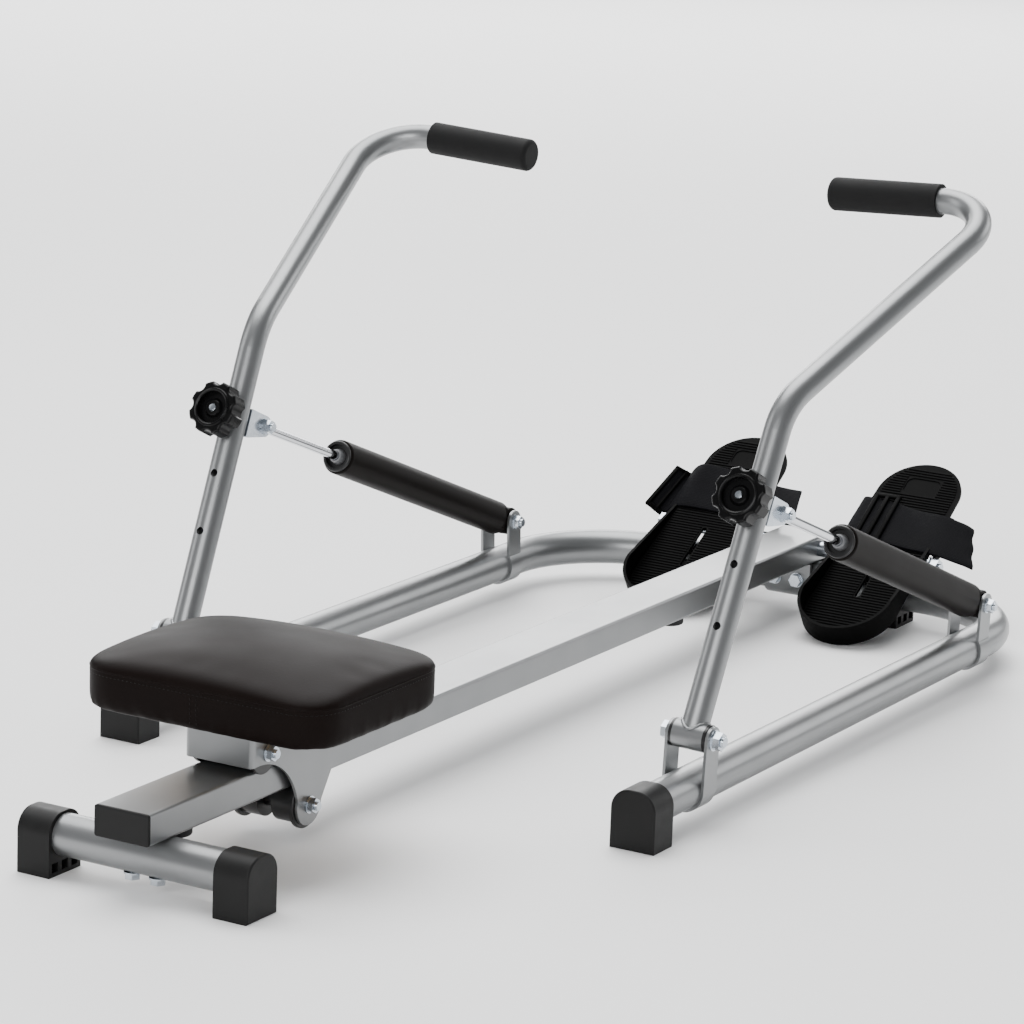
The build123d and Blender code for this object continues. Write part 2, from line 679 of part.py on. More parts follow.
axle_places = [(axle_y, upper_axle_z) for axle_y in upper_axle_ys]
axle_places.append((lower_axle_y, lower_axle_z))
hole_reach = carriage_half_width + overrun
for axle_y, axle_z in axle_places:
    carriage -= cylinder_x(axle_hole, -hole_reach, hole_reach, axle_y, axle_z)
roller_axles = [
    bolt_along_x(roller_axle_diameter, -carriage_half_width, carriage_half_width, axle_y, axle_z)
    for axle_y, axle_z in axle_places
]


def flanged_roller(rolling_radius, axle_y, axle_z):
    """Return a spool roller: two treads on the rail and a flange outside each edge of the rail."""
    tread_radius = rolling_radius - roller_rail_gap
    rail_half = rail_width / 2
    flange_start = rail_half + flange_gap
    flange_end = flange_start + flange_thickness
    body = cylinder_x(roller_hub_radius, -flange_end, flange_end)
    for side in (-1, 1):
        body += cylinder_x(tread_radius, side * (rail_half - tread_width), side * flange_end)
        body += cylinder_x(tread_radius + flange_height, side * flange_start, side * flange_end)
    body = fillet(body.edges().group_by(Axis.X)[0] + body.edges().group_by(Axis.X)[-1], roller_edge_fillet)
    body -= cylinder_x(roller_axle_diameter / 2 + running_clearance, -rail_width, rail_width)
    return Pos(0, axle_y, axle_z) * body


rear_roller = flanged_roller(upper_roller_radius, upper_axle_ys[0], upper_axle_z)
front_roller = flanged_roller(upper_roller_radius, upper_axle_ys[1], upper_axle_z)
lower_roller = flanged_roller(lower_roller_radius, lower_axle_y, lower_axle_z)

# Seat: a domed cushion over a board
waist_outline = RectangleRounded(seat_width, seat_depth, seat_corner_radius)
seat_middle = Pos(0, carriage_centre_y, seat_waist)
lower_half = extrude(seat_middle * waist_outline, amount=-(seat_waist - seat_base), taper=seat_draft)
upper_half = extrude(seat_middle * waist_outline, amount=seat_top - seat_waist + overrun)
crown = Pos(0, carriage_centre_y, seat_top - seat_crown_radius) * Sphere(seat_crown_radius)
upper_half &= crown
crown_edges = upper_half.faces().filter_by(GeomType.SPHERE)[0].edges()
upper_half = fillet(crown_edges, seat_top_fillet)
cushion = lower_half + upper_half
cushion = fillet(cushion.edges().group_by(Axis.Z)[0], seat_base_fillet)
board_outline = RectangleRounded(
    seat_width - board_inset * 2, seat_depth - board_inset * 2, board_corner_radius
)
seat_board = extrude(Pos(0, carriage_centre_y, carriage_top) * board_outline, amount=board_thickness)
board_pocket_outline = RectangleRounded(
    seat_width - board_inset * 2 + side_clearance * 2,
    seat_depth - board_inset * 2 + side_clearance * 2,
    board_corner_radius,
)
board_pocket = extrude(
    Pos(0, carriage_centre_y, carriage_top) * board_pocket_outline, amount=board_thickness + side_clearance
)
seat_cushion = cushion - board_pocket

# Footplate, laid out flat about its axle and then tilted with the toe up
plate_top = plate_offset
plate_low = plate_offset - plate_thickness
heel_reach = heel_centre + heel_radius
heel_lever = math.hypot(heel_reach, plate_low)
heel_fall = math.asin((rail_centre_height - heel_floor_gap) / heel_lever)
plate_tilt = math.degrees(heel_fall + math.atan2(plate_low, heel_reach))


def sole_outline(inset):
    """Return the outline of the footplate, drawn in by inset."""
    heel = Pos(0, -heel_centre) * Circle(heel_radius - inset)
    toe = Pos(0, toe_centre) * Circle(toe_radius - inset)
    return make_hull(heel.edges() + toe.edges())


plate = extrude(Pos(0, 0, plate_low) * sole_outline(0), amount=plate_thickness)
wall_outline = sole_outline(0) - sole_outline(heel_wall_thickness)
wall = extrude(Pos(0, 0, plate_low) * wall_outline, amount=heel_wall_height + plate_thickness)
wall_side = make_face(
    Polyline(
        (-heel_reach, plate_low),
        (-heel_reach, plate_top + heel_wall_height),
        (-heel_centre, plate_top + heel_wall_height),
        (heel_wall_end, plate_top + heel_wall_end_height),
        (heel_wall_end, plate_low),
        close=True,
    )
)
wall_plane = Plane(origin=(-heel_radius, 0, 0), x_dir=(0, 1, 0), z_dir=(1, 0, 0))
plate += wall & extrude(wall_plane * wall_side, amount=heel_radius * 2)
lug_centre = toe_radius - lug_width / 2
for side in (-1, 1):
    lug = Circle(lug_radius) + Rectangle(lug_radius * 2, plate_low, align=(Align.CENTER, Align.MIN))
    lug_plane = Plane(origin=(side * lug_centre - lug_width / 2, 0, 0), x_dir=(0, 1, 0), z_dir=(1, 0, 0))
    plate += extrude(lug_plane * lug, amount=lug_width)
rib_span = toe_radius * 2 - heel_wall_thickness * 4
for index in range(plate_rib_count):
    rib_y = (index - (plate_rib_count - 1) / 2) * plate_rib_pitch
    if abs(rib_y) > lug_radius:
        rib = Box(rib_span, plate_rib_thickness, plate_rib_depth, align=(Align.CENTER, Align.CENTER, Align.MAX))
        plate += Pos(0, rib_y, plate_low) * rib
plate_slot = extrude(Rot(0, 0, 90) * SlotOverall(plate_slot_length, plate_slot_width), amount=plate_top)
plate -= Pos(0, plate_slot_y, 0) * plate_slot
toe_panel = RectangleRounded(toe_panel_length, toe_panel_width, toe_panel_radius)
plate -= extrude(Pos(0, toe_panel_y, plate_top) * toe_panel, amount=-toe_panel_depth)
axle_bore = axle_diameter / 2 + running_clearance
plate -= cylinder_x(axle_bore, -heel_radius, heel_radius)
plate_turn = Rot(plate_tilt, 0, 0)
right_footplate = Pos(plate_x, front_tube_y, rail_centre_height) * plate_turn * plate

# Strap: webbing that rises beside the left edge, crosses the plate and falls outside the right edge
edge_share = (toe_centre - strap_y) / (toe_centre + heel_centre)
strap_reach = toe_radius + (heel_radius - toe_radius) * edge_share + strap_gap + strap_thickness / 2
strap_line = FilletPolyline(
    (-strap_reach, plate_top - strap_left_drop),
    (-strap_reach, plate_top + strap_left_rise),
    (strap_crown_x, plate_top + strap_crown_rise),
    (strap_reach, plate_top + strap_right_rise),
    (strap_reach + strap_bulge, plate_top - strap_bulge_drop),
    (strap_reach + strap_tail_x, plate_top - strap_tail_drop),
    radius=strap_bend_radius,
)
strap_plane = Plane(origin=(0, strap_y + strap_width, 0), x_dir=(1, 0, 0), z_dir=(0, -1, 0))
strap = extrude(strap_plane * trace(strap_line, strap_thickness), amount=strap_width)
right_strap = Pos(plate_x, front_tube_y, rail_centre_height) * plate_turn * strap
left_strap = Pos(-plate_x, front_tube_y, rail_centre_height) * plate_turn * strap

# Footplate axle through the rail, with a spacer on each side
lug_inner_x = plate_x - heel_radius
lug_outer_x = plate_x + heel_radius
footplate_axle = bolt_along_x(axle_diameter, -lug_outer_x, lug_outer_x, front_tube_y, rail_centre_height)
spacer_radius = axle_diameter / 2 + spacer_wall
right_spacer = cylinder_x(
    spacer_radius, rail_width / 2, lug_inner_x - side_clearance, front_tube_y, rail_centre_height
)
right_spacer -= cylinder_x(
    axle_diameter / 2 + push_clearance, rail_width / 4, plate_x, front_tube_y, rail_centre_height
)

nodes = {
    "base_frame": base_frame,
    "left_leg_cap": left_leg_cap,
    "right_leg_cap": right_leg_cap,
    "left_front_foot": left_front_foot,
    "right_front_foot": right_front_foot,
    "rear_stabiliser": rear_stabiliser,
    "left_stabiliser_cap": left_stabiliser_cap,
    "right_stabiliser_cap": right_stabiliser_cap,
    "seat_rail": rail,
    "rail_rear_plug": rail_rear_plug,
    "rail_front_plug": rail_front_plug,
    "left_rear_bolt": rear_bolts[0],
    "right_rear_bolt": rear_bolts[1],
    "front_saddle": front_saddle,
    "left_front_bolt": front_bolts[0],
    "right_front_bolt": front_bolts[1],
    "rear_bumper": rear_bumper,
    "front_bumper": front_bumper,
    "seat_carriage": carriage,
    "rear_roller_axle": roller_axles[0],
    "front_roller_axle": roller_axles[1],
    "lower_roller_axle": roller_axles[2],
    "rear_roller": rear_roller,
    "front_roller": front_roller,
    "lower_roller": lower_roller,
    "seat_board": seat_board,
    "seat_cushion": seat_cushion,
    "footplate_axle": footplate_axle,
}
linkage = {
    "arm_bracket": (arm_bracket, arm_bracket),
    "arm_pivot_bolt": (arm_bolt, arm_bolt),
    "cylinder_bracket": (cylinder_bracket, cylinder_bracket),
    "cylinder_bolt": (cylinder_bolt_right, cylinder_bolt_left),
    "arm_tube": (arm_tube, arm_tube),
    "arm_bush": (arm_bush, arm_bush),
    "arm_grip": (arm_grip, arm_grip),
    "clevis": (clevis, clevis),
    "clevis_bolt": (clevis_bolt, clevis_bolt_left),
    "star_knob": (star_knob, star_knob),
    "piston_rod": (piston_rod, piston_rod),
    "cylinder_shell": (cylinder_shell, cylinder_shell),
    "rod_gland": (rod_gland, rod_gland),
}
for name, (right_shape, left_shape) in linkage.items():
    nodes["right_" + name] = linkage_place * right_shape
    nodes["left_" + name] = mirrored(linkage_place * left_shape)
for name, right_shape in (("footplate", right_footplate), ("spacer", right_spacer)):
    nodes["right_" + name] = right_shape
    nodes["left_" + name] = mirrored(right_shape)
nodes["right_strap"] = right_strap
nodes["left_strap"] = left_strap

# The origin goes under the middle of the whole machine
boxes = [shape.bounding_box() for shape in nodes.values()]
rear_limit = min(box.min.Y for box in boxes)
front_limit = max(box.max.Y for box in boxes)
machine_place = Pos(0, -(rear_limit + front_limit) / 2, 0)
for name, shape in nodes.items():
    export_step(machine_place * shape, "parts/" + name + ".step")
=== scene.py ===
import json
import logging
import math
from collections.abc import Callable, Sequence
from dataclasses import dataclass
from enum import Enum

import bmesh
import bpy
from mathutils import Matrix, Vector
from mathutils.bvhtree import BVHTree

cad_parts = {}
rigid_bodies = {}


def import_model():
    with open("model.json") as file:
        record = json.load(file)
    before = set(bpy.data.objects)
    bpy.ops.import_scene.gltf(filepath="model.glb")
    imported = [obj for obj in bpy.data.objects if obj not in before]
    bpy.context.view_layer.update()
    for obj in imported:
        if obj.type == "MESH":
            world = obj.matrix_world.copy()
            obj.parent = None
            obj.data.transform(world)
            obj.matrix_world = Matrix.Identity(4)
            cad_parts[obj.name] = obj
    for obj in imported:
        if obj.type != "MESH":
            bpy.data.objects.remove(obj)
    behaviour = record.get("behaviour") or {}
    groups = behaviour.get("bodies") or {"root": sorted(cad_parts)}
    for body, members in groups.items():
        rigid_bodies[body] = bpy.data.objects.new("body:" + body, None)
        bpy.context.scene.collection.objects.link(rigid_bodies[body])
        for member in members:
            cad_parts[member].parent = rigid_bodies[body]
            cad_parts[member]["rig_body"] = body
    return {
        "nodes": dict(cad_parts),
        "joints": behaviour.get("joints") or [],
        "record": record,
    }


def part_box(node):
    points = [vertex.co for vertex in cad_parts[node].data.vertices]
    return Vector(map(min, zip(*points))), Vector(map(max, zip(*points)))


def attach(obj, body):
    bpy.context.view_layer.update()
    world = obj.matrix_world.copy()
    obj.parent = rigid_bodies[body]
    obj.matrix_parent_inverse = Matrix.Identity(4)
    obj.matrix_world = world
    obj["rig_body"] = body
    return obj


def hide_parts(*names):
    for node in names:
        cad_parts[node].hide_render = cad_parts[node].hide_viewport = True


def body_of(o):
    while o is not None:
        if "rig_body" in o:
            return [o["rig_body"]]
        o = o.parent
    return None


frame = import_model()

MM = 0.001
LOG = logging.getLogger("rowing_machine")
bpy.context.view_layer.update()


class Side(Enum):
    """The rower's left or right hand; the value is the sign of X."""

    LEFT = -1
    RIGHT = 1

    @property
    def word(self) -> str:
        """The side as it stands in the names of nodes."""
        return self.name.lower()


# Materials


def srgb(colour: str) -> tuple[float, float, float, float]:
    """Turn an sRGB hex colour into linear RGBA.

    Args:
        colour: Six hex digits after a hash.

    Returns:
        The linear colour with alpha 1.
    """
    parts = [int(colour[i:i + 2], 16) / 255 for i in (1, 3, 5)]
    line = [c / 12.92 if c <= 0.04045 else ((c + 0.055) / 1.055) ** 2.4 for c in parts]
    return (line[0], line[1], line[2], 1.0)


def per_size(size_mm: float) -> float:
    """Return the texture scale at which a pattern repeats every size_mm on Object coordinates."""
    return 1.0 / (size_mm * MM)


def add_node(
    tree: bpy.types.NodeTree,
    kind: str,
    values: dict | None = None,
    links: dict | None = None,
    **settings: object,
) -> bpy.types.Node:
    """Add one node with its settings, socket values and links.

    Args:
        tree: The material's node tree.
        kind: The node's type name.
        values: Input socket name to constant.
        links: Input socket name to the output socket that feeds it.
        **settings: Attributes of the node itself.

    Returns:
        The new node.
    """
    node = tree.nodes.new(kind)
    for name, value in settings.items():
        setattr(node, name, value)
    for name, value in (values or {}).items():
        node.inputs[name].default_value = value
    for name, socket in (links or {}).items():
        tree.links.new(socket, node.inputs[name])
    return node


@dataclass(frozen=True)
class Finish:
    """A surface: two close tones in slow patches, a fine relief and a gloss that varies a little."""

    name: str
    tone: str
    second_tone: str
    roughness: float
    roughness_swing: float = 0.05
    metallic: float = 0.0
    patch_mm: float = 60.0
    grain_mm: float = 1.0
    grain_height_mm: float = 0.02
    coat: float = 0.0
    coat_roughness: float = 0.2
    specular: float = 0.5

    def material(self) -> bpy.types.Material:
        """Return the finish's material, made once."""
        known = bpy.data.materials.get(self.name)
        if known:
            return known
        material = bpy.data.materials.new(self.name)
        material.use_nodes = True
        tree = material.node_tree
        shader = tree.nodes["Principled BSDF"]
        place = add_node(tree, "ShaderNodeTexCoord").outputs["Object"]
        shader.inputs["Metallic"].default_value = self.metallic
        shader.inputs["Coat Weight"].default_value = self.coat
        shader.inputs["Coat Roughness"].default_value = self.coat_roughness
        shader.inputs["Specular IOR Level"].default_value = self.specular
        patches = add_node(
            tree, "ShaderNodeTexNoise", {"Scale": per_size(self.patch_mm), "Detail": 3.0}, {"Vector": place}
        )
        colour = add_node(tree, "ShaderNodeMix", data_type="RGBA")
        colour.inputs[6].default_value = srgb(self.tone)
        colour.inputs[7].default_value = srgb(self.second_tone)
        tree.links.new(patches.outputs["Fac"], colour.inputs[0])
        tree.links.new(colour.outputs[2], shader.inputs["Base Color"])
        swing = self.roughness_swing
        gloss = add_node(
            tree,
            "ShaderNodeMapRange",
            {"To Min": self.roughness - swing, "To Max": self.roughness + swing},
            {"Value": patches.outputs["Fac"]},
        )
        tree.links.new(gloss.outputs["Result"], shader.inputs["Roughness"])
        relief = self.relief(tree, place)
        bump = add_node(
            tree,
            "ShaderNodeBump",
            {"Strength": 1.0, "Distance": self.grain_height_mm * MM},
            {"Height": relief},
        )
        tree.links.new(bump.outputs["Normal"], shader.inputs["Normal"])
        return material

    def relief(self, tree: bpy.types.NodeTree, place: bpy.types.NodeSocket) -> bpy.types.NodeSocket:
        """Return the height pattern, here an even fine noise.

        Args:
            tree: The material's node tree.
            place: The Object coordinate socket.

        Returns:
            The socket that holds the height.
        """
        grain = add_node(
            tree, "ShaderNodeTexNoise", {"Scale": per_size(self.grain_mm), "Detail": 2.0}, {"Vector": place}
        )
        return grain.outputs["Fac"]


@dataclass(frozen=True)
class GrainedVinyl(Finish):
    """Vinyl pressed with a leather grain: small cells with soft creases between them."""

    cell_mm: float = 1.6

    def relief(self, tree: bpy.types.NodeTree, place: bpy.types.NodeSocket) -> bpy.types.NodeSocket:
        """Return the height pattern, here cells with creases.

        Args:
            tree: The material's node tree.
            place: The Object coordinate socket.

        Returns:
            The socket that holds the height.
        """
        cells = add_node(
            tree,
            "ShaderNodeTexVoronoi",
            {"Scale": per_size(self.cell_mm), "Randomness": 1.0},
            {"Vector": place},
            feature="SMOOTH_F1",
        )
        return cells.outputs["Distance"]


@dataclass(frozen=True)
class WovenWebbing(Finish):
    """Flat woven webbing, read on the strap's own UV map: ribs along it and picks across it."""

    pick_mm: float = 1.1
    width_mm: float = 62.0
    length_mm: float = 250.0

    def relief(self, tree: bpy.types.NodeTree, place: bpy.types.NodeSocket) -> bpy.types.NodeSocket:
        """Return the height pattern, here the product of two waves on the UV map.

        Args:
            tree: The material's node tree.
            place: The Object coordinate socket; not used.

        Returns:
            The socket that holds the height.
        """
        strap_uv = add_node(tree, "ShaderNodeTexCoord").outputs["UV"]
        turns = ((self.length_mm, "X"), (self.width_mm, "Y"))
        waves = []
        for size_mm, axis in turns:
            wave = add_node(
                tree,
                "ShaderNodeTexWave",
                {"Scale": size_mm / self.pick_mm / math.tau},
                {"Vector": strap_uv},
                bands_direction=axis,
            )
            waves.append(wave.outputs["Fac"])
        weave = add_node(tree, "ShaderNodeMath", operation="MULTIPLY")
        tree.links.new(waves[0], weave.inputs[0])
        tree.links.new(waves[1], weave.inputs[1])
        return weave.outputs["Value"]


# Polyester powder on steel, sprayed with aluminium flake and baked: soft highlights, faint orange peel.
SILVER_POWDER_COAT = Finish(
    "silver_powder_coat", "#898a8b", "#808283", 0.37, metallic=0.85, grain_mm=1.4, grain_height_mm=0.012,
    coat=0.2, coat_roughness=0.15,
)
# Bright zinc electroplate on bolts and pressings: a cool, slightly uneven metal.
BRIGHT_ZINC = Finish(
    "bright_zinc_plate", "#cdd2d8", "#b4bcc5", 0.22, 0.07, metallic=1.0, patch_mm=9.0, grain_mm=0.6,
    grain_height_mm=0.01,
)
# Hard chrome on the ground piston rod: a mirror with only the faintest haze.
HARD_CHROME = Finish(
    "hard_chrome", "#dcdde0", "#d2d4d8", 0.1, 0.03, metallic=1.0, grain_mm=2.0, grain_height_mm=0.002
)
# Polypropylene moulded in a spark-eroded tool: near black with a dull, even sheen.
MOULDED_POLYPROPYLENE = Finish(
    "moulded_polypropylene", "#050505", "#090909", 0.56, 0.06, patch_mm=25.0, grain_mm=0.7,
    grain_height_mm=0.03, specular=0.03,
)
# Polyethylene caps and plugs: black with a greyer, scuffed skin.
MOULDED_POLYETHYLENE = Finish(
    "moulded_polyethylene", "#101010", "#171717", 0.5, 0.08, patch_mm=12.0, grain_mm=0.8,
    grain_height_mm=0.03, specular=0.18,
)
# Phenolic knob, polished in the mould: deep black with a clear highlight.
PHENOLIC_KNOB = Finish(
    "phenolic_knob", "#060606", "#0a0a0b", 0.28, 0.04, patch_mm=20.0, grain_mm=3.0, grain_height_mm=0.01,
    coat=0.06, coat_roughness=0.1, specular=0.12,
)
# Nylon rollers and bushes: black, slightly waxy.
BLACK_NYLON = Finish("black_nylon", "#0b0b0c", "#121213", 0.34, 0.05, grain_mm=1.0, grain_height_mm=0.01)
# Moulded rubber stops: matt, with a dusty bloom.
STOP_RUBBER = Finish("stop_rubber", "#0c0c0c", "#141414", 0.7, 0.05, grain_mm=0.8, grain_height_mm=0.04)
# Closed-cell NBR foam tube: matt, with a fine open skin.
NBR_FOAM = Finish(
    "nbr_foam", "#080808", "#0d0d0e", 0.74, 0.06, patch_mm=14.0, grain_mm=0.9, grain_height_mm=0.09,
    specular=0.25,
)
# Satin enamel on the damper shells: brown black with a broad, soft highlight.
SATIN_ENAMEL = Finish(
    "satin_enamel", "#0f0c0b", "#13100e", 0.46, 0.04, grain_mm=1.2, grain_height_mm=0.008,
    specular=0.05,
)
# Grey acetal cone that wipes the piston rod.
WIPER_ACETAL = Finish("wiper_acetal", "#77787a", "#6c6d70", 0.4, 0.05, patch_mm=6.0, grain_mm=0.5)
# Poplar ply under the seat: pale, with a faint figure.
POPLAR_PLY = Finish("poplar_ply", "#a98b63", "#8f7350", 0.62, 0.06, patch_mm=12.0, grain_mm=1.5)
# Upholstery vinyl: brown black, pressed with a fine leather grain.
UPHOLSTERY_VINYL = GrainedVinyl(
    "upholstery_vinyl", "#0e0908", "#150f0d", 0.5, 0.05, patch_mm=45.0, grain_height_mm=0.05,
    specular=0.04,
)
# Bonded nylon thread, the colour of the vinyl.
NYLON_THREAD = Finish(
    "nylon_thread", "#100e0d", "#171413", 0.55, grain_mm=0.5, grain_height_mm=0.05, specular=0.1
)
# Polyester webbing, flat woven: dull black with a fine rib.
POLYESTER_WEBBING = WovenWebbing(
    "polyester_webbing", "#0c0c0e", "#131316", 0.7, 0.05, patch_mm=20.0, grain_height_mm=0.25,
    specular=0.05,
)
# Pale seamless studio floor.
STUDIO_FLOOR = Finish("studio_floor", "#fafafa", "#f7f7f7", 0.8, 0.02, patch_mm=900.0, grain_mm=8.0)

SLOT_FINISHES: dict[str, Finish] = {
    "silver_paint": SILVER_POWDER_COAT,
    "zinc_plate": BRIGHT_ZINC,
    "black_plastic": MOULDED_POLYPROPYLENE,
    "grey_nylon": BLACK_NYLON,
    "black_rubber": STOP_RUBBER,
    "foam_grip": NBR_FOAM,
    "vinyl": UPHOLSTERY_VINYL,
    "board_wood": POPLAR_PLY,
    "cylinder_brown": SATIN_ENAMEL,
    "rod_chrome": HARD_CHROME,
    "webbing": POLYESTER_WEBBING,
}


# Modelling tools


def only(piece: bpy.types.Object) -> bpy.types.Object:
    """Make a piece the one selected and active object.

    Args:
        piece: The object.

    Returns:
        The same object.
    """
    bpy.ops.object.select_all(action="DESELECT")
    piece.select_set(True)
    bpy.context.view_layer.objects.active = piece
    return piece


def settle(piece: bpy.types.Object) -> bpy.types.Object:
    """Put a piece's place, turn and size into its mesh.

    Args:
        piece: The mesh object.

    Returns:
        The same object.
    """
    only(piece)
    bpy.ops.object.transform_apply(location=True, rotation=True, scale=True)
    return piece


def block(name: str, centre: Vector, size: Vector) -> bpy.types.Object:
    """Add a settled block, as the start of a piece.

    Args:
        name: The piece's name.
        centre: Its middle.
        size: Its width, depth and height, in metres.

    Returns:
        The block.
    """
    bpy.ops.object.select_all(action="DESELECT")
    bpy.ops.mesh.primitive_cube_add(size=1.0, location=centre)
    piece = bpy.context.active_object
    piece.name = piece.data.name = name
    piece.scale = size
    return settle(piece)


def apply_modifier(piece: bpy.types.Object, kind: str, **settings: object) -> None:
    """Add a modifier with its settings and apply it.

    Args:
        piece: The mesh object.
        kind: The modifier's type name.
        **settings: The modifier's attributes.
    """
    only(piece)
    modifier = piece.modifiers.new(kind.title(), kind)
    for name, value in settings.items():
        setattr(modifier, name, value)
    bpy.ops.object.modifier_apply(modifier=modifier.name)


def edit(piece: bpy.types.Object, mode: str, chosen: Callable, steps: Callable[[], None]) -> None:
    """Select parts of a mesh by a test, then run operators on them in edit mode.

    Args:
        piece: The mesh object.
        mode: VERT, EDGE or FACE.
        chosen: Test that takes a bmesh element and says whether it is selected.
        steps: Runs the operators.
    """
    only(piece)
    bpy.ops.object.mode_set(mode="EDIT")
    bpy.ops.mesh.select_mode(type=mode)
    bpy.ops.mesh.select_all(action="DESELECT")
    mesh = bmesh.from_edit_mesh(piece.data)
    elements = {"VERT": mesh.verts, "EDGE": mesh.edges, "FACE": mesh.faces}[mode]
    for element in elements:
        if chosen(element):
            element.select_set(True)
    mesh.select_flush_mode()
    bmesh.update_edit_mesh(piece.data)
    steps()
    bpy.ops.object.mode_set(mode="OBJECT")


def smooth(piece: bpy.types.Object, angle_deg: float = 40.0) -> None:
    """Shade a piece smooth, with edges sharper than angle_deg kept."""
    only(piece)
    bpy.ops.object.shade_smooth_by_angle(angle=math.radians(angle_deg))


def dress(piece: bpy.types.Object, finish: Finish, body: str) -> bpy.types.Object:
    """Give a piece its finish and body, and report it.

    Args:
        piece: The finished piece.
        finish: Its finish.
        body: The CAD body that it rides on.

    Returns:
        The piece.
    """
    piece.data.materials.clear()
    piece.data.materials.append(finish.material())
    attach(piece, body)
    LOG.info("%s on %s: %d faces", piece.name, body, len(piece.data.polygons))
    return piece


def join(name: str, parts: Sequence[bpy.types.Object]) -> bpy.types.Object:
    """Join several meshes into one piece.

    Args:
        name: The piece's name.
        parts: The meshes.

    Returns:
        The piece.
    """
    bpy.ops.object.select_all(action="DESELECT")
    for part in parts:
        part.select_set(True)
    bpy.context.view_layer.objects.active = parts[0]
    bpy.ops.object.join()
    piece = bpy.context.active_object
    piece.name = piece.data.name = name
    return piece


def ring_along(name: str, points: Sequence[Vector], radius: float, ripple: int = 0) -> bpy.types.Object:
    """Lay a thin closed ring, such as a bead of weld or a piping, along a loop of points.

    Args:
        name: The piece's name.
        points: The loop's points, evenly spread.
        radius: The ring's own radius, in metres.
        ripple: How many ripples run round it.

    Returns:
        The ring.
    """
    sides = 8
    bpy.ops.object.select_all(action="DESELECT")
    bpy.ops.mesh.primitive_torus_add(
        major_segments=len(points), minor_segments=sides, major_radius=1.0, minor_radius=0.1
    )
    piece = bpy.context.active_object
    piece.name = piece.data.name = name
    centre = sum(points, Vector()) / len(points)
    count = len(points)
    for index, point in enumerate(points):
        along = (points[(index + 1) % count] - points[index - 1]).normalized()
        outward = (point - centre) - along * (point - centre).dot(along)
        outward.normalize()
        across = along.cross(outward)
        swell = 1.0 + 0.14 * math.sin(math.tau * ripple * index / count)
        for side in range(sides):
            turn = math.tau * side / sides
            offset = outward * math.cos(turn) + across * math.sin(turn)
            piece.data.vertices[index * sides + side].co = point + offset * radius * swell
    settle(piece)
    edit(piece, "FACE", lambda face: True, lambda: bpy.ops.mesh.normals_make_consistent(inside=False))
    smooth(piece, 80.0)
    return piece


def turned_ring(
    name: str, profile_mm: Sequence[tuple[float, float]], start: Vector, along: Vector, segments: int = 40
) -> bpy.types.Object:
    """Turn a closed profile round an axis, as on a lathe.

    Args:
        name: The piece's name.
        profile_mm: Radius and distance along the axis, going round the profile.
        start: Where distance 0 lies.
        along: The axis.
        segments: How many steps go round.

    Returns:
        The ring.
    """
    sides = len(profile_mm)
    bpy.ops.object.select_all(action="DESELECT")
    bpy.ops.mesh.primitive_torus_add(
        major_segments=segments, minor_segments=sides, major_radius=1.0, minor_radius=0.1
    )
    piece = bpy.context.active_object
    piece.name = piece.data.name = name
    axis = along.normalized()
    first = axis.orthogonal().normalized()
    second = axis.cross(first)
    for index in range(segments):
        turn = math.tau * index / segments
        outward = first * math.cos(turn) + second * math.sin(turn)
        for side, (radius, distance) in enumerate(profile_mm):
            point = start + outward * radius * MM + axis * distance * MM
            piece.data.vertices[index * sides + side].co = point
    edit(piece, "FACE", lambda face: True, lambda: bpy.ops.mesh.normals_make_consistent(inside=False))
    smooth(piece, 35.0)
    return piece


def find_joint(name: str) -> dict:
    """Return the frame's entry for one joint."""
    return next(joint for joint in frame["joints"] if joint["name"] == name)


def joint_axis(name: str) -> tuple[Vector, Vector]:
    """Return the point and the unit direction of a joint's axis."""
    joint = find_joint(name)
    return Vector(joint["pos_m"]), Vector(joint["axis"]).normalized()


# The machine


@dataclass
class CadDressing:
    """The carried-over CAD nodes, each with the finish that its record slot asks for."""

    knob_ending: str = "_star_knob"
    cap_endings: tuple[str, ...] = ("_cap", "_plug", "_front_foot")

    def finish_of(self, name: str, slot: str) -> Finish:
        """Return the finish of a node: its slot's, or a closer one for the knobs and the caps.

        Args:
            name: The node's name.
            slot: The record's material slot.

        Returns:
            The finish.
        """
        if name.endswith(self.knob_ending):
            return PHENOLIC_KNOB
        if name.endswith(self.cap_endings):
            return MOULDED_POLYETHYLENE
        return SLOT_FINISHES[slot]

    def build(self) -> None:
        """Give every CAD node its finish."""
        slots = {row["node"]: row["material_slot"] for row in frame["record"]["subparts"]}
        for name, node in frame["nodes"].items():
            finish = self.finish_of(name, slots[name])
            node.data.materials.clear()
            node.data.materials.append(finish.material())
        LOG.info("dressed %d CAD nodes", len(frame["nodes"]))


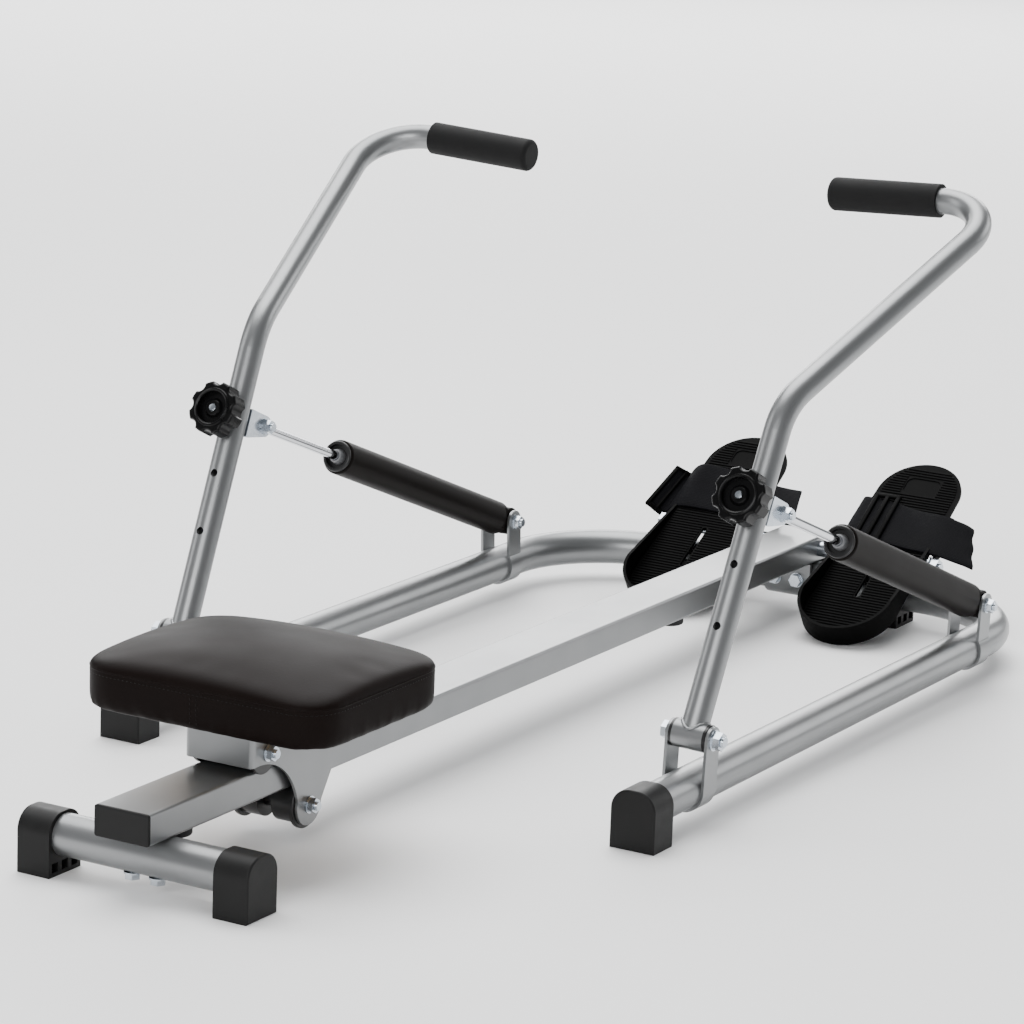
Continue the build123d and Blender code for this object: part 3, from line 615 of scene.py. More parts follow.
@dataclass
class SeatUnit:
    """The padded seat: a swollen vinyl cushion with a sewn edge seam and a rear joint."""

    corner_radius: float = 42 * MM
    swell_room: float = 2.5 * MM
    seam_share: float = 0.6
    crown_room: float = 3 * MM
    crown_fall: float = 0.42
    hem_drop: float = 3.5 * MM
    hem_width: float = 26 * MM
    top_round: float = 15 * MM
    base_round: float = 5 * MM
    rim_steps: int = 5
    level_room: float = 0.1 * MM
    voxel: float = 5 * MM
    pressure: float = 1.5
    cloth_stiffness: float = 8.0
    last_frame: int = 20
    movement_cap: float = 4.5 * MM
    seam_hold: float = 3.0 * MM
    base_hold: float = 7.0 * MM
    gather_pitch: float = 17 * MM
    gather_depth: float = 0.9 * MM
    welt_radius: float = 0.9 * MM
    stitch_pitch: float = 4.6 * MM
    stitch_length: float = 3.2 * MM
    stitch_radius: float = 0.5 * MM
    stitch_drop: float = 4.0 * MM
    rear_seam_half_gap: float = 3.5 * MM
    ring_points: int = 240
    corner_steps: int = 12
    side_steps: int = 30
    ray_room: float = 30 * MM
    seam_edge: float = 16 * MM
    gather_share: float = 0.6
    gather_slant: float = 0.3
    gather_beat: float = 0.37
    welt_sink: float = 0.2 * MM
    fill: float = 0.85

    def __post_init__(self) -> None:
        """Read the cushion's box from the frame."""
        low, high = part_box("seat_cushion")
        self.low, self.high = Vector(low), Vector(high)
        self.centre = (self.low + self.high) / 2
        self.size = self.high - self.low
        self.seam_height = self.low.z + self.size.z * self.seam_share

    def start_shape(self) -> bpy.types.Object:
        """Return the unswollen pad: a block with round corners, a wide top round and a small base one."""
        width = self.size.x - 2 * self.swell_room
        depth = self.size.y - 2 * self.swell_room
        height = self.size.z - self.crown_room
        middle = Vector((self.centre.x, self.centre.y, self.low.z + height / 2))
        pad = block("seat_cushion_soft", middle, Vector((width, depth, height)))
        corner = self.corner_radius - self.swell_room
        edit(
            pad, "EDGE",
            lambda edge: abs(edge.verts[0].co.z - edge.verts[1].co.z) > height / 2,
            lambda: bpy.ops.mesh.bevel(offset=corner, segments=self.corner_steps, affect="EDGES"),
        )
        for level, radius in ((self.low.z + height, self.top_round), (self.low.z, self.base_round)):
            edit(
                pad, "EDGE",
                lambda edge: all(abs(v.co.z - level) < self.level_room for v in edge.verts),
                lambda: bpy.ops.mesh.bevel(offset=radius, segments=self.rim_steps, affect="EDGES"),
            )
        apply_modifier(pad, "REMESH", mode="VOXEL", voxel_size=self.voxel, use_smooth_shade=True)
        apply_modifier(pad, "SMOOTH", factor=0.5, iterations=4)
        return pad

    def swell(self, pad: bpy.types.Object) -> None:
        """Blow the pad up as sewn cloth over foam, and keep a share of the swelling.

        The cloth is held at its seam and its base.

        Args:
            pad: The remeshed pad.
        """
        start = [v.co.copy() for v in pad.data.vertices]
        sewn = pad.vertex_groups.new(name="sewn")
        edge_x = self.size.x / 2 - self.seam_edge
        edge_y = self.size.y / 2 - self.seam_edge
        for vertex in pad.data.vertices:
            place = vertex.co - self.centre
            at_seam = abs(vertex.co.z - self.seam_height) < self.seam_hold
            outside = abs(place.x) > edge_x or abs(place.y) > edge_y
            if (at_seam and outside) or vertex.co.z < self.low.z + self.base_hold:
                sewn.add([vertex.index], 1.0, "REPLACE")
        only(pad)
        cloth = pad.modifiers.new("Cloth", "CLOTH")
        cloth.settings.use_pressure = True
        cloth.settings.uniform_pressure_force = self.pressure
        cloth.settings.bending_stiffness = self.cloth_stiffness
        cloth.settings.vertex_group_mass = "sewn"
        cloth.settings.effector_weights.gravity = 0.0
        cloth.point_cache.frame_start = 1
        cloth.point_cache.frame_end = self.last_frame
        scene = bpy.context.scene
        for number in range(1, self.last_frame + 1):
            scene.frame_set(number)
        shaped = pad.evaluated_get(bpy.context.evaluated_depsgraph_get())
        moved = [v.co.copy() for v in shaped.data.vertices]
        pad.modifiers.remove(cloth)
        scene.frame_set(1)
        widest = max((after - before).length for before, after in zip(start, moved))
        share = min(1.0, self.movement_cap / widest)
        for vertex, before, after in zip(pad.data.vertices, start, moved):
            vertex.co = before.lerp(after, share)

    def ease(self, pad: bpy.types.Object) -> None:
        """Ease the top down towards its rim, most at the corners, and roll the hem under the board.

        Args:
            pad: The swollen pad.
        """
        inner_x = self.size.x / 2 - self.hem_width
        inner_y = self.size.y / 2 - self.hem_width
        for vertex in pad.data.vertices:
            place = vertex.co - self.centre
            if vertex.co.z > self.seam_height:
                spread = (2 * place.x / self.size.x) ** 2 + (2 * place.y / self.size.y) ** 2
                vertex.co.z -= (vertex.co.z - self.seam_height) * self.crown_fall * spread
            else:
                reach = max(abs(place.x) - inner_x, abs(place.y) - inner_y) / self.hem_width
                share = (self.seam_height - vertex.co.z) / (self.seam_height - self.low.z)
                vertex.co.z -= self.hem_drop * min(1.0, max(0.0, reach) * 2) * share

    def gather(self, pad: bpy.types.Object) -> None:
        """Pull small gathers into the band where the vinyl turns under the board.

        Args:
            pad: The swollen pad.
        """
        reach = (self.seam_height - self.low.z) * self.gather_share
        for vertex in pad.data.vertices:
            place = vertex.co - self.centre
            fade = max(0.0, 1.0 - (vertex.co.z - self.low.z) / reach)
            outward = Vector((place.x / self.size.x**2, place.y / self.size.y**2, 0)).normalized()
            walk = (abs(place.x) - abs(place.y) + place.x * self.gather_slant) / self.gather_pitch
            depth = math.sin(math.tau * walk) * math.sin(math.tau * walk * self.gather_beat + 1.0)
            vertex.co += outward * depth * self.gather_depth * fade**2

    def outline(self, height: float, surface: BVHTree) -> list[tuple[Vector, Vector]]:
        """Walk round the cushion at one height.

        Args:
            height: Z of the walk, in metres.
            surface: The cushion's surface.

        Returns:
            Points on the surface and their outward directions, evenly spread.
        """
        half_x = self.size.x / 2 - self.corner_radius
        half_y = self.size.y / 2 - self.corner_radius
        runs = [
            (Vector((half_x, -half_y, 0)), 0.0), (Vector((half_x, half_y, 0)), 90.0),
            (Vector((-half_x, half_y, 0)), 180.0), (Vector((-half_x, -half_y, 0)), 270.0),
        ]
        walk: list[tuple[Vector, Vector]] = []
        for index, (corner, turn) in enumerate(runs):
            start_turn = turn - 90.0
            for step in range(self.corner_steps):
                angle = math.radians(start_turn + 90.0 * step / self.corner_steps)
                outward = Vector((math.cos(angle), math.sin(angle), 0))
                walk.append((corner + outward * self.corner_radius, outward))
            following = runs[(index + 1) % 4][0]
            outward = Vector((math.cos(math.radians(turn)), math.sin(math.radians(turn)), 0))
            for step in range(self.side_steps):
                place = corner.lerp(following, step / self.side_steps)
                walk.append((place + outward * self.corner_radius, outward))
        found = []
        for place, outward in walk:
            middle = Vector((self.centre.x, self.centre.y, height))
            origin = middle + place + outward * self.ray_room
            hit = surface.ray_cast(origin, -outward)
            if hit[0] is not None:
                found.append((hit[0], outward))
        return self.even(found, self.ring_points)

    @staticmethod
    def even(walk: list[tuple[Vector, Vector]], count: int) -> list[tuple[Vector, Vector]]:
        """Spread a closed walk evenly.

        Args:
            walk: Points and directions in order.
            count: How many points come back.

        Returns:
            The evenly spread points and directions.
        """
        closed = walk + walk[:1]
        lengths = [0.0]
        for (a, _), (b, _) in zip(closed, closed[1:]):
            lengths.append(lengths[-1] + (b - a).length)
        spread, index = [], 0
        for number in range(count):
            target = lengths[-1] * number / count
            while lengths[index + 1] < target:
                index += 1
            share = (target - lengths[index]) / max(lengths[index + 1] - lengths[index], 1e-9)
            (a, na), (b, nb) = closed[index], closed[index + 1]
            spread.append((a.lerp(b, share), na.lerp(nb, share).normalized()))
        return spread

    def stitch(self, centre: Vector, along: Vector, outward: Vector) -> bpy.types.Object:
        """Return one stitch of thread lying on the surface.

        Args:
            centre: Where it lies.
            along: The direction of the seam.
            outward: Away from the surface.

        Returns:
            The stitch.
        """
        bpy.ops.mesh.primitive_uv_sphere_add(segments=6, ring_count=5, radius=1.0)
        thread = bpy.context.active_object
        side = along.cross(outward).normalized()
        turn = Matrix((side, outward, along)).transposed().to_4x4()
        size = Matrix.Diagonal((self.stitch_radius, self.stitch_radius, self.stitch_length / 2, 1.0))
        thread.data.transform(Matrix.Translation(centre) @ turn @ size)
        return thread

    def build(self) -> None:
        """Make the cushion, its welt and its thread."""
        pad = self.start_shape()
        self.swell(pad)
        apply_modifier(pad, "SMOOTH", factor=0.5, iterations=5)
        self.ease(pad)
        self.gather(pad)
        apply_modifier(pad, "SUBSURF", levels=1, render_levels=1)
        smooth(pad, 80.0)
        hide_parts("seat_cushion")
        dress(pad, UPHOLSTERY_VINYL, "seat")
        mesh = bmesh.new()
        mesh.from_mesh(pad.data)
        surface = BVHTree.FromBMesh(mesh)
        mesh.free()
        seam = self.outline(self.seam_height, surface)
        loop = [point - outward * self.welt_sink for point, outward in seam]
        welt = ring_along("seat_welt", loop, self.welt_radius)
        dress(welt, UPHOLSTERY_VINYL, "seat")
        below = self.outline(self.seam_height - self.stitch_drop, surface)
        perimeter = sum((below[i][0] - below[i - 1][0]).length for i in range(len(below)))
        evenly = self.even(below, round(perimeter / self.stitch_pitch))
        threads = []
        bpy.ops.object.select_all(action="DESELECT")
        for index, (place, outward) in enumerate(evenly):
            along = (evenly[(index + 1) % len(evenly)][0] - evenly[index - 1][0]).normalized()
            threads.append(self.stitch(place, along, outward))
        down = Vector((0, 0, -1))
        rear = Vector((0, -1, 0))
        rows = int((self.seam_height - self.low.z - 2 * self.stitch_drop) / self.stitch_pitch)
        for side in (-1, 1):
            for row in range(rows):
                height = self.seam_height - 2 * self.stitch_drop - row * self.stitch_pitch
                origin = Vector((side * self.rear_seam_half_gap, self.low.y - self.ray_room, height))
                hit = surface.ray_cast(origin, -rear)
                if hit[0] is not None:
                    threads.append(self.stitch(hit[0], down, rear))
        sewing = join("seat_stitching", threads)
        smooth(sewing, 80.0)
        dress(sewing, NYLON_THREAD, "seat")


@dataclass(frozen=True)
class StrapRow:
    """One row of a strap on its plate, in mm.

    x, rise and y are its middle; skew and lean are how far its far end is moved in X and raised.
    """

    x: float
    rise: float
    y: float
    skew: float = 0.0
    lean: float = 0.0


# The right strap lies flat over the tread, and its stiff free end reaches past the plate's edge.
RIGHT_STRAP: tuple[StrapRow, ...] = (
    StrapRow(-54.5, -6, 49), StrapRow(-58.5, 1, 49), StrapRow(-60, 8, 49), StrapRow(-57, 14, 49),
    StrapRow(-46, 16, 48), StrapRow(-28, 16, 46.5), StrapRow(-10, 15.7, 44), StrapRow(8, 15.2, 41),
    StrapRow(26, 15, 39.5, -2), StrapRow(44, 14.6, 39, -6), StrapRow(60, 12.5, 38.7, -11),
    StrapRow(74, 8.5, 38.6, -16), StrapRow(85, 4.5, 38.6, -20), StrapRow(93.6, 0, 38.6, -24.8),
)
RIGHT_ANCHOR: tuple[StrapRow, ...] = (
    StrapRow(52, 11.6, 41), StrapRow(57, 9.6, 41), StrapRow(58.8, 5, 41), StrapRow(58.5, -1, 41),
    StrapRow(56, -7, 41),
)
# The left strap comes from a buckle beside the plate and leans back towards the toes.
LEFT_STRAP: tuple[StrapRow, ...] = (
    StrapRow(-80, 18, 42.5, 9.5), StrapRow(-75, 13, 43, 9), StrapRow(-69, 6.5, 43.5, 8),
    StrapRow(-63, 5, 44.5, 6, 2),
    StrapRow(-58.5, 11, 46, 4, 6), StrapRow(-51, 17.5, 47.5, 6, 10), StrapRow(-40, 20.5, 48, 6, 12),
    StrapRow(-25, 20, 48.5, 3, 11), StrapRow(-8, 19, 48.5, 0, 9), StrapRow(10, 17.5, 47.5, 0, 6),
    StrapRow(28, 16.4, 45.5, -2, 3), StrapRow(46, 15.6, 43.5, -6), StrapRow(62, 15.6, 42, -11, -2),
    StrapRow(76, 16.5, 41.5, -14, -4), StrapRow(88, 17.1, 41.3, -16, -6),
    StrapRow(98, 17.3, 41.5, -18, -7),
)
# The short end under the buckle, on the left plate's outer side.
LEFT_ANCHOR: tuple[StrapRow, ...] = (
    StrapRow(-53.5, -7, 44), StrapRow(-57.5, -3.5, 44), StrapRow(-61, -0.5, 44), StrapRow(-64, 2.2, 44),
)
# The short end that goes through the left plate on the rail's side.
LEFT_OUTER_ANCHOR: tuple[StrapRow, ...] = (
    StrapRow(52, 11.8, 42), StrapRow(57, 9.8, 42), StrapRow(58.8, 5, 42), StrapRow(58.5, -1, 42),
    StrapRow(56, -7, 42),
)


@dataclass(frozen=True)
class BuckleFrame:
    """The middles of a buckle's four corners on its plate, in mm."""

    inner_near: tuple[float, float, float]
    inner_far: tuple[float, float, float]
    outer_near: tuple[float, float, float]
    outer_far: tuple[float, float, float]


# The right buckle lies flat on its strap, and the left one stands beside the plate with its edge up.
BUCKLES: dict[Side, BuckleFrame] = {
    Side.LEFT: BuckleFrame(
        (-67.8, 9.0, 2.0), (-60.6, 78.0, 2.0), (-84.5, 9.5, 18.0), (-75.5, 72.5, 18.0)
    ),
    Side.RIGHT: BuckleFrame(
        (-12.5, 12.0, 19.0), (-14.5, 82.0, 19.0), (-40.0, 12.0, 18.5), (-42.0, 82.0, 18.5)
    ),
}


def catmull_rom(values: tuple[float, float, float, float], t: float) -> float:
    """Return a point of the Catmull-Rom curve through four values.

    Args:
        values: The four values.
        t: The share of the way from the second to the third.

    Returns:
        The value there.
    """
    p, q, r, w = values
    square = (2 * p - 5 * q + 4 * r - w) * t**2
    cube = (3 * q - p - 3 * r + w) * t**3
    return 0.5 * (2 * q + (r - p) * t + square + cube)


@dataclass
class Footrest:
    """One footplate's ribbed tread, its strap and the strap's buckle."""

    side: Side
    tilt_deg: float = 31.79
    heel_centre: float = 92.5 * MM
    heel_radius: float = 56.5 * MM
    toe_centre: float = 99 * MM
    toe_radius: float = 51 * MM
    tread_height: float = 12 * MM
    rib_pitch: float = 4.2 * MM
    rib_width: float = 2.3 * MM
    rib_rise: float = 1.0 * MM
    rib_margin: float = 5.5 * MM
    slot_half_width: float = 4.5 * MM
    slot_range_mm: tuple[float, float] = (-77.0, -7.0)
    panel_half_mm: tuple[float, float] = (22.5, 14.5)
    panel_y_mm: float = 112.0
    strap_width: float = 62 * MM
    strap_thickness: float = 2.6 * MM
    strap_columns: int = 13
    rows_between: int = 5
    surface_wave: float = 0.5 * MM
    end_wave: float = 1.1 * MM
    wave_rates: tuple[float, float] = (0.31, 5.0)
    slow_wave_rates: tuple[float, float] = (0.13, 3.0)
    curl_depth: float = 0.5 * MM
    scallops: float = 2.3
    end_share: float = 0.85
    edge_bevel: float = 0.7 * MM
    rib_bevel: float = 0.5 * MM
    rib_sunk: float = 0.3 * MM
    cutter_height: float = 20 * MM
    buckle_width: float = 5.5 * MM
    buckle_height: float = 4.5 * MM
    buckle_round: float = 0.3

    def __post_init__(self) -> None:
        """Find the plate's own axes from the axle in the frame."""
        plate_low, plate_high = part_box(self.side.word + "_footplate")
        axle_low, axle_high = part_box("footplate_axle")
        x = (plate_low[0] + plate_high[0]) / 2
        self.origin = Vector((x, (axle_low[1] + axle_high[1]) / 2, (axle_low[2] + axle_high[2]) / 2))
        self.turn = Matrix.Rotation(math.radians(self.tilt_deg), 4, "X")
        self.place = Matrix.Translation(self.origin) @ self.turn
        self.body = self.side.word + "_footrest"

    def half_width(self, y: float) -> float:
        """Return how wide the plate is from its middle line to its edge.

        Args:
            y: The place along the plate, in metres.

        Returns:
            Half the width there, in metres.
        """
        if y < -self.heel_centre:
            return math.sqrt(max(self.heel_radius**2 - (y + self.heel_centre) ** 2, 0.0))
        if y > self.toe_centre:
            return math.sqrt(max(self.toe_radius**2 - (y - self.toe_centre) ** 2, 0.0))
        share = (y + self.heel_centre) / (self.heel_centre + self.toe_centre)
        return self.heel_radius + (self.toe_radius - self.heel_radius) * share

    def tread(self) -> None:
        """Make the fine ribs that run across the plate."""
        back = -self.heel_centre - self.heel_radius + self.rib_margin
        front = self.toe_centre + self.toe_radius - self.rib_margin
        count = int((front - back) / self.rib_pitch)
        centre = Vector((0, back, self.tread_height + (self.rib_rise - self.rib_sunk) / 2))
        size = Vector((2.0, self.rib_width, self.rib_rise + self.rib_sunk))
        ribs = block(self.side.word + "_tread_ribs", centre, size)

        def crest(edge: bmesh.types.BMEdge) -> bool:
            """Return whether an edge is one of the long ones on top of the rib."""
            return all(v.co.z > self.tread_height for v in edge.verts) and edge.calc_length() > 1.0

        edit(
            ribs, "EDGE", crest,
            lambda: bpy.ops.mesh.bevel(offset=self.rib_bevel, segments=2, affect="EDGES"),
        )
        apply_modifier(
            ribs, "ARRAY", count=count, use_relative_offset=False, use_constant_offset=True,
            constant_offset_displace=(0, self.rib_pitch, 0),
        )
        for vertex in ribs.data.vertices:
            rib = round((vertex.co.y - back) / self.rib_pitch)
            reach = self.half_width(back + rib * self.rib_pitch) - self.rib_margin
            vertex.co.x *= max(reach, 1 * MM)
        slot_middle = sum(self.slot_range_mm) / 2 * MM
        slot_length = (self.slot_range_mm[1] - self.slot_range_mm[0]) * MM
        panel_width, panel_length = (half * 2 * MM for half in self.panel_half_mm)
        cutters = (
            (slot_middle, self.slot_half_width * 2, slot_length),
            (self.panel_y_mm * MM, panel_width, panel_length),
        )
        for middle, width, length in cutters:
            centre = Vector((0, middle, self.tread_height))
            cutter = block("rib_cutter", centre, Vector((width, length, self.cutter_height)))
            apply_modifier(ribs, "BOOLEAN", operation="DIFFERENCE", object=cutter, solver="EXACT")
            bpy.data.objects.remove(cutter)
        ribs.data.transform(self.place)
        smooth(ribs, 35.0)
        dress(ribs, MOULDED_POLYPROPYLENE, self.body)

    def spread(self, rows: Sequence[StrapRow]) -> list[tuple[float, float, float, float, float]]:
        """Round the rows off with a Catmull-Rom curve.

        Args:
            rows: The strap's rows.

        Returns:
            Denser rows as x, rise, y, skew and lean, in mm.
        """
        keys = [(row.x, row.rise, row.y, row.skew, row.lean) for row in rows]
        keys = [keys[0], *keys, keys[-1]]
        dense = []
        for before, start, end, after in zip(keys, keys[1:], keys[2:], keys[3:]):
            for step in range(self.rows_between):
                t = step / self.rows_between
                dense.append(tuple(
                    catmull_rom(values, t) for values in zip(before, start, end, after)
                ))
        return [*dense, keys[-1]]

    def strip(
        self, name: str, rows: Sequence[StrapRow], ripple: float = 0.0, end_wave: float = 0.0
    ) -> bpy.types.Object:
        """Make a length of webbing that runs through the rows, with thin bound edges.

        Args:
            name: The strip's name.
            rows: Its rows, in the plate's own axes.
            ripple: How far its surface waves, in metres.
            end_wave: How far its cut end waves, in metres.

        Returns:
            The strip.
        """
        line = self.spread(rows)
        last, columns = len(line) - 1, self.strap_columns
        bpy.ops.object.select_all(action="DESELECT")
        bpy.ops.mesh.primitive_grid_add(x_subdivisions=last, y_subdivisions=columns - 1, size=1.0)
        strip = bpy.context.active_object
        strip.name = strip.data.name = name
        for vertex in strip.data.vertices:
            row = round((vertex.co.x + 0.5) * last)
            across = vertex.co.y
            x, rise, y, skew, lean = line[row]
            fast = math.sin(row * self.wave_rates[0] + across * self.wave_rates[1])
            slow = math.cos(row * self.slow_wave_rates[0] - across * self.slow_wave_rates[1])
            wave = ripple * fast * slow
            curl = -self.curl_depth * (2 * across) ** 4
            end = max(0.0, row / last - self.end_share) / (1 - self.end_share)
            scallop = end_wave * math.cos(across * math.tau * self.scallops) * end
            vertex.co = Vector((
                (x + across * skew) * MM + scallop,
                y * MM + across * self.strap_width,
                (rise + across * lean) * MM + wave + curl,
            ))
        apply_modifier(strip, "SOLIDIFY", thickness=self.strap_thickness, offset=0.0)
        apply_modifier(
            strip, "BEVEL", width=self.edge_bevel, segments=2, limit_method="ANGLE",
            angle_limit=math.radians(60),
        )
        strip.data.transform(self.place)
        smooth(strip, 50.0)
        dress(strip, POLYESTER_WEBBING, self.body)
        return strip

    def strap(self) -> None:
        """Make the strap and the short ends that anchor it to the plate."""
        if self.side is Side.RIGHT:
            main_strip = self.strip("right_strap_webbing", RIGHT_STRAP, self.surface_wave, self.end_wave)
            self.strip("right_strap_anchor", RIGHT_ANCHOR)
        else:
            main_strip = self.strip("left_strap_webbing", LEFT_STRAP, self.surface_wave)
            self.strip("left_strap_anchor", LEFT_ANCHOR)
            self.strip("left_strap_outer_anchor", LEFT_OUTER_ANCHOR)
        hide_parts(self.side.word + "_strap")

    def bar(self, start: Vector, end: Vector) -> bpy.types.Object:
        """Return one rounded bar of the buckle between two points on the plate.

        Args:
            start: One end, in the plate's own axes.
            end: The other end.

        Returns:
            The bar.
        """
        run = end - start
        width, height = self.buckle_width, self.buckle_height
        bar = block("buckle_bar", Vector(), Vector((width, run.length + width, height)))
        edit(
            bar, "EDGE", lambda edge: True,
            lambda: bpy.ops.mesh.bevel(offset=height * self.buckle_round, segments=3, affect="EDGES"),
        )
        turn = Vector((0, 1, 0)).rotation_difference(run.normalized()).to_matrix().to_4x4()
        bar.data.transform(Matrix.Translation((start + end) / 2) @ turn)
        return bar

    def buckle(self) -> None:
        """Make the three-bar slide of the strap."""
        corners = BUCKLES[self.side]
        inner_near, inner_far = Vector(corners.inner_near), Vector(corners.inner_far)
        outer_near, outer_far = Vector(corners.outer_near), Vector(corners.outer_far)
        bars = []
        for share in (0.0, 0.5, 1.0):
            near, far = inner_near.lerp(outer_near, share), inner_far.lerp(outer_far, share)
            bars.append(self.bar(near * MM, far * MM))
        bars.append(self.bar(inner_near * MM, outer_near * MM))
        bars.append(self.bar(inner_far * MM, outer_far * MM))
        buckle = join(self.side.word + "_strap_buckle", bars)
        buckle.data.transform(self.place)
        smooth(buckle, 50.0)
        dress(buckle, MOULDED_POLYPROPYLENE, self.body)

    def build(self) -> None:
        """Make the tread, strap and buckle."""
        self.tread()
        self.strap()
        self.buckle()


@dataclass
class ArmDetails:
    """The weld where one arm's tube meets its pivot barrel."""

    side: Side
    lean_deg: float = 24.86
    tube_radius: float = 13.5 * MM
    barrel_radius: float = 14.0 * MM
    bead_radius: float = 1.7 * MM
    bead_points: int = 72
    bead_ripples: int = 30

    def build(self) -> None:
        """Lay the bead along the line where tube and barrel meet."""
        name = self.side.word + "_arm_swing"
        pivot, hinge = joint_axis(name)
        upright = Vector((-hinge.z, 0, hinge.x))
        forward = Vector((0, 1, 0))
        lean = math.radians(self.lean_deg)
        along = upright * math.cos(lean) + forward * math.sin(lean)
        front = forward * math.cos(lean) - upright * math.sin(lean)
        points = []
        for index in range(self.bead_points):
            turn = math.tau * index / self.bead_points
            out = self.tube_radius * math.sin(turn)
            rise = math.sqrt(self.barrel_radius**2 - out**2)
            points.append(pivot + hinge * self.tube_radius * math.cos(turn) + front * out + along * rise)
        bead = ring_along(self.side.word + "_arm_weld", points, self.bead_radius, self.bead_ripples)
        dress(bead, SILVER_POWDER_COAT, self.side.word + "_arm")


@dataclass
class KnobTrim:
    """The raised rim and boss of one star knob, and the bright tip of its screw."""

    side: Side
    head_reach_mm: float = 45.8
    dish_radius_mm: float = 17.0
    dish_depth_mm: float = 5.0
    boss_radius_mm: float = 8.5
    screw_radius_mm: float = 4.0

    def build(self) -> None:
        """Make the rim, the boss and the screw tip."""
        centre, forward = joint_axis(self.side.word + "_knob_turn")
        outward = -forward
        face = centre + outward * self.head_reach_mm * MM
        dish, floor = self.dish_radius_mm, -self.dish_depth_mm
        rim = turned_ring(
            self.side.word + "_knob_rim",
            (
                (dish - 0.1, -1.2), (dish + 0.3, 0.7), (dish + 1.5, 1.4), (dish + 2.9, 1.0),
                (dish + 4.0, -0.4),
            ),
            face, outward, 64,
        )
        boss, screw = self.boss_radius_mm, self.screw_radius_mm
        hub = turned_ring(
            self.side.word + "_knob_boss",
            (
                (screw - 0.4, floor - 0.3), (boss + 2.2, floor - 0.3), (boss + 1.0, floor + 0.8),
                (boss, floor + 2.6), (boss - 0.9, floor + 3.2), (screw + 0.5, floor + 3.0),
                (screw + 0.1, floor + 1.5),
            ),
            face, outward, 48,
        )
        steps = ((screw + 0.05, floor + 0.5), (screw + 0.05, floor + 3.3), (screw - 0.7, floor + 4.3))
        tip = turned_ring(
            self.side.word + "_knob_screw_tip",
            (*steps, (1.2, floor + 4.5), (0.02, floor + 4.5), (0.02, floor + 0.5)), face, outward, 32,
        )
        for piece in (rim, hub):
            dress(piece, PHENOLIC_KNOB, self.side.word + "_knob")
        dress(tip, BRIGHT_ZINC, self.side.word + "_knob")


@dataclass
class DamperTrim:
    """The grey wiper cone at the mouth of one damper."""

    side: Side
    mouth_mm: float = 161.0
    rod_radius_mm: float = 5.0
    cone_length_mm: float = 5.6

    def build(self) -> None:
        """Make the cone round the rod."""
        clevis, _ = joint_axis(self.side.word + "_rod_pivot")
        slide = find_joint(self.side.word + "_cylinder_slide")
        along = Vector(slide["axis"]).normalized()
        mouth = clevis + along * self.mouth_mm * MM
        bore = self.rod_radius_mm + 0.12
        rim, length = bore + 3.6, self.cone_length_mm
        cone = turned_ring(
            self.side.word + "_wiper_cone",
            (
                (bore, -2.4), (bore + 0.9, -2.9), (bore + 1.9, -2.2), (rim, length - 0.7),
                (rim, length), (bore, length),
            ),
            mouth, along, 48,
        )
        dress(cone, WIPER_ACETAL, self.side.word + "_cylinder")


@dataclass
class ThreadedEnds:
    """The cut threads that stand past the nuts of the bolts."""

    pitch_mm: float = 1.25
    tooth_mm: float = 0.45
    turns: int = 2
    tip_mm: float = 3.0
    near_share: float = 0.9
    sunk_mm: float = 0.9
    clear_mm: float = 0.05
    segments: int = 24

    def build(self) -> None:
        """Thread every bolt's tip."""
        for name, body in self.bolts():
            self.thread(name, body)

    @staticmethod
    def bolts() -> list[tuple[str, str]]:
        """Return the bolt nodes and the bodies that they ride on."""
        found = []
        for name in frame["nodes"]:
            if name.endswith("_bolt") or name.endswith("roller_axle"):
                found.append((name, body_of(frame["nodes"][name])[0]))
        return found

    def thread(self, name: str, body: str) -> None:
        """Lay a toothed sleeve round one bolt's tip.

        Args:
            name: The bolt's node.
            body: Its body.
        """
        node = frame["nodes"][name]
        points = [node.matrix_world @ v.co for v in node.data.vertices]
        centre = sum(points, Vector()) / len(points)
        low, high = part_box(name)
        sizes = [b - a for a, b in zip(low, high)]
        axis = Vector([1.0 if size == max(sizes) else 0.0 for size in sizes])
        if name.startswith(("left_", "right_")) and axis.x == 1.0:
            _, axis = joint_axis(name.split("_")[0] + "_arm_swing")
        reaches = [(p - centre).dot(axis) for p in points]
        middle = centre + axis * (max(reaches) + min(reaches)) / 2
        half = (max(reaches) - min(reaches)) / 2
        radii = {}
        for sign in (-1, 1):
            near = [
                p for p, r in zip(points, reaches)
                if sign * ((p - middle).dot(axis)) > half - self.tip_mm * self.near_share * MM
            ]
            radii[sign] = max(((p - middle) - axis * (p - middle).dot(axis)).length for p in near) / MM
        sign = 1 if radii[1] < radii[-1] else -1
        radius = radii[sign]
        outward = axis * sign
        end = middle + outward * half
        first, last, root = -self.tip_mm + 0.1, -self.clear_mm, radius + self.clear_mm
        profile = [(radius - self.sunk_mm, first)]
        for turn in range(self.turns + 1):
            base = first + turn * self.pitch_mm
            profile.append((root, base))
            profile.append((root + self.tooth_mm * 0.5, min(base + self.pitch_mm * 0.5, last)))
        profile.append((radius - self.sunk_mm, last))
        ring = turned_ring(name + "_thread", profile, end, outward, self.segments)
        dress(ring, BRIGHT_ZINC, body)


@dataclass(frozen=True)
class SoftBox:
    """One area lamp: where it hangs and its size in metres, and its power in watts."""

    name: str
    place: tuple[float, float, float]
    size: tuple[float, float]
    power: float


